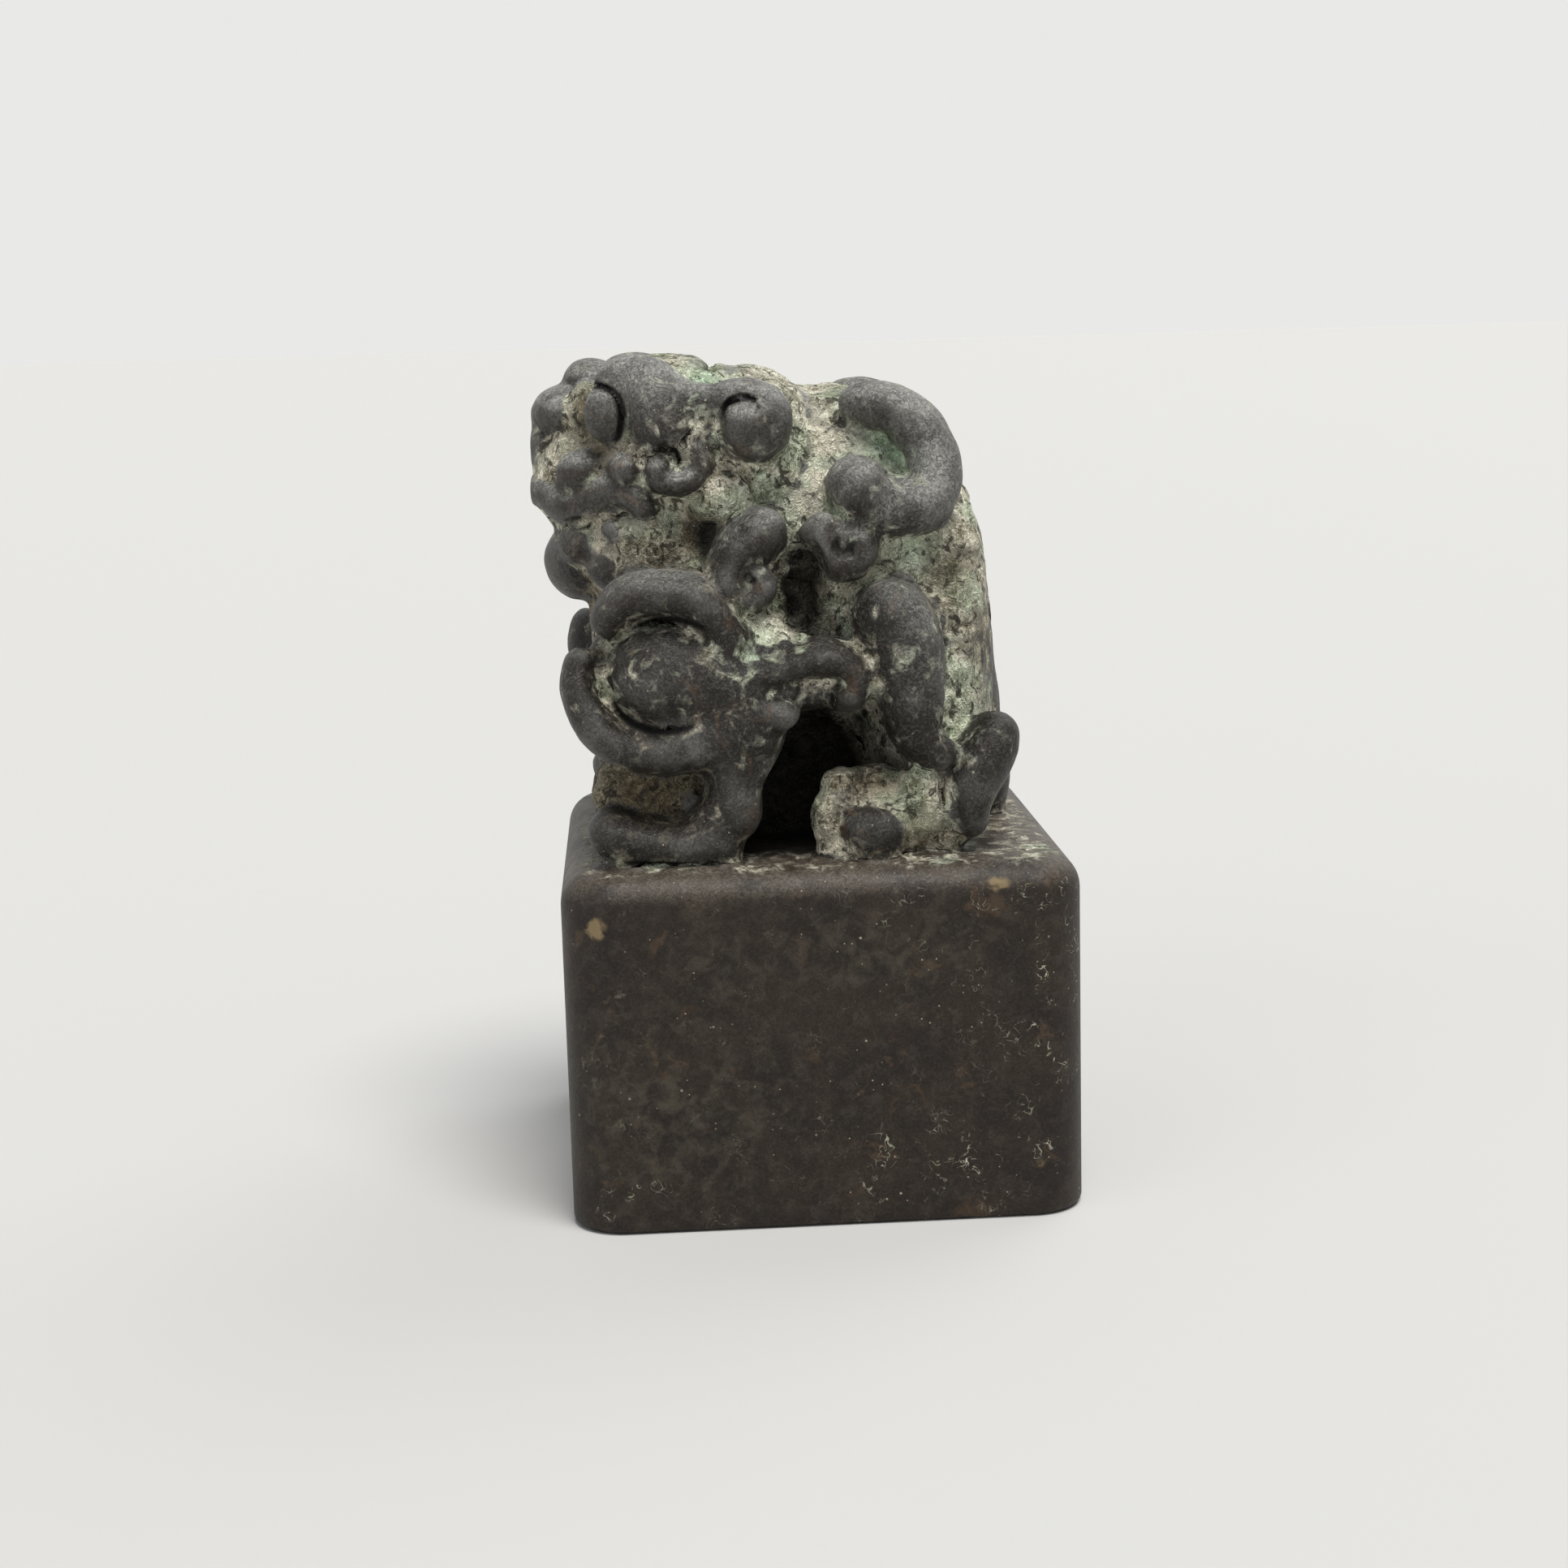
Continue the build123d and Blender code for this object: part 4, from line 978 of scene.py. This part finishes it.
# adds a node by its plain word; an input is a constant or another node's output
def addNode(tree, word, *inputs, **ownSettings):
    kind, sockets, output, settings = nodeKinds[word]
    node = tree.nodes.new(kind)
    for key, value in {**settings, **ownSettings}.items():
        setattr(node, key, value)
    for socket, value in zip(sockets, inputs):
        if isinstance(value, bpy.types.NodeSocket):
            tree.links.new(value, node.inputs[socket])
        else:
            node.inputs[socket].default_value = value
    return node.outputs[output]


# a texture's scale from the real distance between its hills, in millimetres: so many of them to a metre
def perMetre(size):
    return 1000 / size


# cloudy drifts whose hills are this many millimetres apart, eased in between two levels of their noise;
# their character is the noise's detail, roughness and distortion
def drifts(add, where, size, low, high, *character):
    return add("eased", add("noise", where, perMetre(size), *character), low, high)


# thin winding lines: the level lines of a noise, this wide in its own range
def worms(add, where, size, width, distortion):
    level = add("noise", where, perMetre(size), 1.0, 0.5, distortion)
    away = add("unsigned", add("minus", level, 0.5))
    return add("minus", 1.0, add("eased", away, 0.0, width))


# specks this many millimetres apart and this wide, fewer where the share kept is small
def specks(add, where, size, width, kept):
    distance = add("dots", where, perMetre(size))
    near = add("minus", 1.0, add("eased", distance, width / size * 0.5, width / size))
    return add("times", near, add("below", add("red", distance.node.outputs["Color"]), kept))


# the skin's three colours are dark, middle and rubbed, the last also used as painted highlight and painted
# top light;
# the relief is the depth of its fine grain
bronzes = {
    "cast bronze, grey-brown patina": {
        "skin": ("#28231e", "#38332d", "#85847f"), "grit": "#b9b9b2", "relief": 0.42},
    "cast bronze, dark brown patina": {
        "skin": ("#1f1914", "#2c241c", "#544c42"), "grit": "#6d665d", "relief": 0.2},
}


# Cast bronze that has lain in the ground: a semi-matte patina, dark in clouds, paler where it is rubbed and
# dusty and with painted highlight on raised places and painted top light on what looks up, a dull crust of
# green and tan corrosion in the hollows, and painted shade in the slits, the deepest creases and the
# recesses.
def bronzeMaterial(name, blockLike):
    material = bpy.data.materials.new(name)
    material.use_nodes = True
    tree = material.node_tree
    shader = tree.nodes["Principled BSDF"]
    add = partial(addNode, tree)
    where = add("place")
    fineHollow, broadHollow, slit, cave, crustShare, upward, pale, mint, dirt = (
        add("field", attribute_name=key)
        for key in ("hollowFine", "hollowBroad", "slit", "cave", "crust", "upward", "pale", "mint", "dirt"))

    # the patina: dark in clouds, paler and bluer in a mottle, and on raised places as rubbed wear and painted
    # highlight
    dark, middle, rubbedAndLit = map(linear, bronzes[name]["skin"])
    clouds = add("noise", where, perMetre(3.2), 5.0, 0.62, 0.4)
    mottle = add("noise", where, perMetre(0.9), 4.0, 0.6, 0.5)
    colour = add("blend", add("eased", clouds, 0.36, 0.64), dark, middle)
    colour = add("blend", add("times", add("eased", mottle, 0.45, 0.72), 0.25), colour, rubbedAndLit)
    if not blockLike:                            # the beast's skin is darker towards the bottom
        low = add("times", add("eased", add("height", where), 0.036, 0.025), 0.75)
        colour = add("blend", low, colour, linear("#17120d"))
    # rubbed wear and painted highlight: raised places are painted lighter and bluer
    wornAndHighlit = add("times", add("eased", add("minus", 1.0, fineHollow), 0.52, 0.74), 0.4)
    colour = add("blend", wornAndHighlit, colour, rubbedAndLit)
    stain = add("times", drifts(add, where, 2.1, 0.6, 0.7, 3.0, 0.6, 0.8), 0.4)
    colour = add("blend", stain, colour, linear("#5a4634"))

    # dust and painted top light on what looks up, the pale patches, pale grit, and dark between the grains
    wrinkle = add("noise", where, perMetre(0.26), 2.0, 0.6, 1.8)
    dustAndTopLight = add("times", add("eased", upward, 0.1, 0.8), 0.7)
    if not blockLike:
        dustAndTopLight = add("larger", dustAndTopLight, pale)
    dustAndTopLight = add("times", dustAndTopLight, add("eased", clouds, 0.3, 0.56))
    colour = add("blend", dustAndTopLight, colour, rubbedAndLit)
    grit = add("times", add("eased", wrinkle, 0.46, 0.7), add("plus", 0.08, add("times", dustAndTopLight, 0.75)))
    colour = add("blend", grit, colour, linear(bronzes[name]["grit"]))
    colour = add("blend", add("times", add("eased", wrinkle, 0.5, 0.34), 0.45), colour, linear("#161310"))

    # the crust: winding light grains over a brown ground, mint where it lies deepest, and painted shade in
    # recesses
    grains, finer = worms(add, where, 0.42, 0.09, 1.0), worms(add, where, 0.26, 0.09, 1.4)
    hue = add("larger", add("times", drifts(add, where, 2.4, 0.46, 0.66, 2.0, 0.5, 0.5), 0.5), mint)
    earth = add("blend", hue, linear("#655d45"), linear("#5f7454"))
    light = add("blend", hue, linear("#fbf5df"), linear("#cfe8c8"))
    # painted shade: the patches darken the crust in recesses and low places
    if not blockLike:
        earth = add("blend", dirt, earth, linear("#2c2418"))
        light = add("blend", dirt, light, linear("#6f5f42"))
    patchy = add("times", drifts(add, where, 1.5, 0.36, 0.6, 5.0, 0.68, 0.8), 0.5)
    strokes = add("plus", add("times", grains, 0.42), add("times", finer, 0.3))
    edged = add("times", add("eased", fineHollow, 0.54, 0.66), 0.35)
    crustColour = add("blend", add("plus", add("plus", patchy, strokes), edged), earth, light)
    gaps = add("times", drifts(add, where, 0.7, 0.52, 0.62, 4.0, 0.65, 1.0), 0.85)
    crustColour = add("blend", gaps, crustColour, linear("#1e1811"))
    if blockLike:                                # dust films over its top, and hollows fill on the beast
        film = add("times", add("eased", upward, 0.75, 1.0), 0.38)
    else:
        film = add("times", broadHollow, 0.68)
    ragged = add("plus", add("larger", crustShare, film), add("minus", add("times", mottle, 1.1), 0.55))
    crusty = add("eased", ragged, 0.3, 0.62)

    # the block's sides have a haze, a few tan spots and winding flecks
    if blockLike:
        haze = add("times", add("times", mint, add("eased", mottle, 0.38, 0.7)), 0.45)
        colour = add("blend", haze, colour, linear("#5d5748"))
        tan = add("times", add("eased", add("times", pale, mottle), 0.26, 0.46), 0.8)
        colour = add("blend", tan, colour, linear("#8a7858"))
        flecks = worms(add, where, 0.5, 0.03, 0.6)
        flecks = add("times", flecks, drifts(add, where, 1.6, 0.52, 0.66, 4.0, 0.65))
        crusty = add("larger", crusty, add("times", flecks, add("plus", 0.12, dirt)))
    thin = drifts(add, where, 1.9, 0.5, 0.66, 3.0, 0.6, 0.6)     # where the crust is worn to a film
    crusty = add("times", crusty, add("minus", 0.97, add("times", thin, 0.45)))
    colour = add("blend", crusty, colour, crustColour)

    # specks of bare crust on the open skin, then painted shade in the slits, the deepest creases, the arch
    # and other recesses
    bright = add("larger", specks(add, where, 0.8, 0.08, 0.3), specks(add, where, 0.4, 0.05, 0.35))
    scattered = add("times", bright, drifts(add, where, 5.0, 0.4, 0.62))
    colour = add("blend", add("times", scattered, 0.8), colour, linear("#b5aa94"))
    # painted shade: the deepest creases, the slits and the recesses between the legs, on the flank and at the
    # throat go nearly black
    deep = add("larger", add("eased", fineHollow, 0.82, 0.95), add("eased", broadHollow, 0.84, 0.95))
    paintedShade = add("larger", add("larger", slit, add("times", cave, 0.93)), deep)
    colour = add("blend", paintedShade, colour, linear("#080605"))
    tree.links.new(colour, shader.inputs["Base Color"])

    # semi-matte skin, dull crust, and a porous patina that gives back half the sheen of a polished one
    shader.inputs["Specular IOR Level"].default_value = 0.24
    sheen = add("range", mottle, 0.3, 0.7, 0.4, 0.56)
    tree.links.new(add("mix", add("larger", crusty, paintedShade), sheen, 0.85), shader.inputs["Roughness"])

    # relief: a fine wrinkled grain on the skin, coarse grains in the crust, and small pits
    relief = add("times", wrinkle, bronzes[name]["relief"])
    relief = add("plus", relief, add("times", add("times", crusty, grains), 0.4))
    relief = add("minus", relief, add("times", specks(add, where, 0.9, 0.12, 0.25), 0.2))
    tree.links.new(add("bump", 1.0, 0.00016, relief), shader.inputs["Normal"])
    return material


cast, castBlock = (bronzeMaterial(name, blockLike) for name, blockLike in zip(bronzes, (False, True)))

# the pieces: each is worked out on the near side, and mirrored where it has another side
pitch = 0.127             # the size of the surfaces' faces
middleNames = ["rump", "chest", "belly", "mane", "skull", "muzzle", "throat", "chin", "forehead_knob",
               "nose_bridge", "nose_tip", "upper_lip", "tail"]
pairedNames = {"nostril": "nostrils", "cheek_bead": "cheek_beads", "fang": "fangs",
               "elbow_knob": "elbow_knobs"}

makePiece("sealBlock", [blockPart()], castBlock, ["seal_block"])
makePiece("torsoMass", [finished(torsoSurface(pitch))], cast, ["torso"])
for name in order:
    part = finished(lumpSurface(lumps[name], pitch) if name in lumps else rollSurface(rolls[name], pitch))
    fills = [finished(lumpSurface(lumps[fill], pitch))
             for fill in fillNames if fill.startswith(name + "_fill")]
    words = name.split("_")
    plain = words[0] + "".join(word.capitalize() for word in words[1:])
    if name in middleNames:
        makePiece(plain, [part, *fills, *map(mirrored, fills)], cast, [name])
    elif name in pairedNames:
        makePiece(plain + "Pair", [part, mirrored(part)], cast, [pairedNames[name]])
    else:
        makePiece(plain + "Left", [part, *fills], cast, ["left_" + name])
        makePiece(plain + "Right", [mirrored(part), *map(mirrored, fills)], cast, ["right_" + name])
report("pieces made")

# turn is towards +X, tip is below level, and roll turns the picture counter-clockwise, in degrees
camera = {"place": (-8.29567, -127.63121, 43.01931), "turn": 3.229, "tip": 10.441, "roll": 1.556,
          "lens": 57.76}


# the camera's axes: ahead from turn and tip, level and upward square to it, both turned by the roll
def addCamera():
    turn, tip, roll = (math.radians(camera[key]) for key in ("turn", "tip", "roll"))
    ahead = np.array([math.sin(turn) * math.cos(tip), math.cos(turn) * math.cos(tip), -math.sin(tip)])
    level = np.array([math.cos(turn), -math.sin(turn), 0.0])
    upward = np.cross(level, ahead)
    right = level * math.cos(roll) - upward * math.sin(roll)
    up = level * math.sin(roll) + upward * math.cos(roll)
    lens = bpy.data.cameras.new("photo camera")
    lens.lens, lens.sensor_width = camera["lens"], 36.0
    lens.clip_start = 0.005
    holder = bpy.data.objects.new("photo camera", lens)
    turned = np.stack([right, up, -ahead], axis=1)
    rows = [[*turned[i], camera["place"][i] * mm] for i in range(3)] + [[0, 0, 0, 1]]
    holder.matrix_world = Matrix(rows)
    scene.collection.objects.link(holder)
    scene.camera = holder


# far, wide lamps light the floor evenly out to the backdrop
lamps = {
    "soft key": {"place": (0.14, -0.34, 0.95), "width": 30, "strength": 2.8, "colour": (1, 0.985, 0.96)},
    "soft fill": {"place": (-0.8, -0.75, 0.4), "width": 50, "strength": 0.5, "colour": (0.93, 0.96, 1)},
    "soft back": {"place": (0.5, 0.5, 0.7), "width": 40, "strength": 0.6, "colour": (0.93, 0.96, 1)},
}


# a lamp looks from its place towards the middle
def addLamp(name, place, width, strength, colour):
    light = bpy.data.lights.new(name, "SUN")
    light.angle, light.energy, light.color = math.radians(width), strength, colour
    lamp = bpy.data.objects.new(name, light)
    lamp.rotation_euler = Vector(place).to_track_quat("Z", "Y").to_euler()
    scene.collection.objects.link(lamp)


addCamera()
for name, lamp in lamps.items():
    addLamp(name, **lamp)

floorMesh = bpy.data.meshes.new("studioFloor")
floorMesh.from_pydata([(-3, -1, 0), (3, -1, 0), (3, 5, 0), (-3, 5, 0)], [], [(0, 1, 2, 3)])
floor = bpy.data.objects.new("studioFloor", floorMesh)
scene.collection.objects.link(floor)
board = bpy.data.materials.new("pale matt board")
board.use_nodes = True
boardShader = board.node_tree.nodes["Principled BSDF"]
boardShader.inputs["Base Color"].default_value = linear("#cfcecb")
boardShader.inputs["Roughness"].default_value = 0.8
floorMesh.materials.append(board)

# an even pale sky lights the scene, and the camera sees it as a nearly white backdrop
world = bpy.data.worlds.new("studio")
scene.world = world
world.use_nodes = True
sky = world.node_tree
lit = sky.nodes["Background"]
lit.inputs[0].default_value = linear("#e6ebf2")
lit.inputs[1].default_value = 0.3
seen = addNode(sky, "background", linear("#e9e9e8"), 1.0)
rays = sky.nodes.new("ShaderNodeLightPath").outputs
direct = addNode(sky, "plus", rays["Is Camera Ray"], rays["Is Glossy Ray"])
direct = addNode(sky, "plus", direct, rays["Is Transmission Ray"])
both = addNode(sky, "mixShader", direct, lit.outputs[0], seen)
sky.links.new(both, sky.nodes["World Output"].inputs[0])
scene.view_settings.view_transform = "Standard"
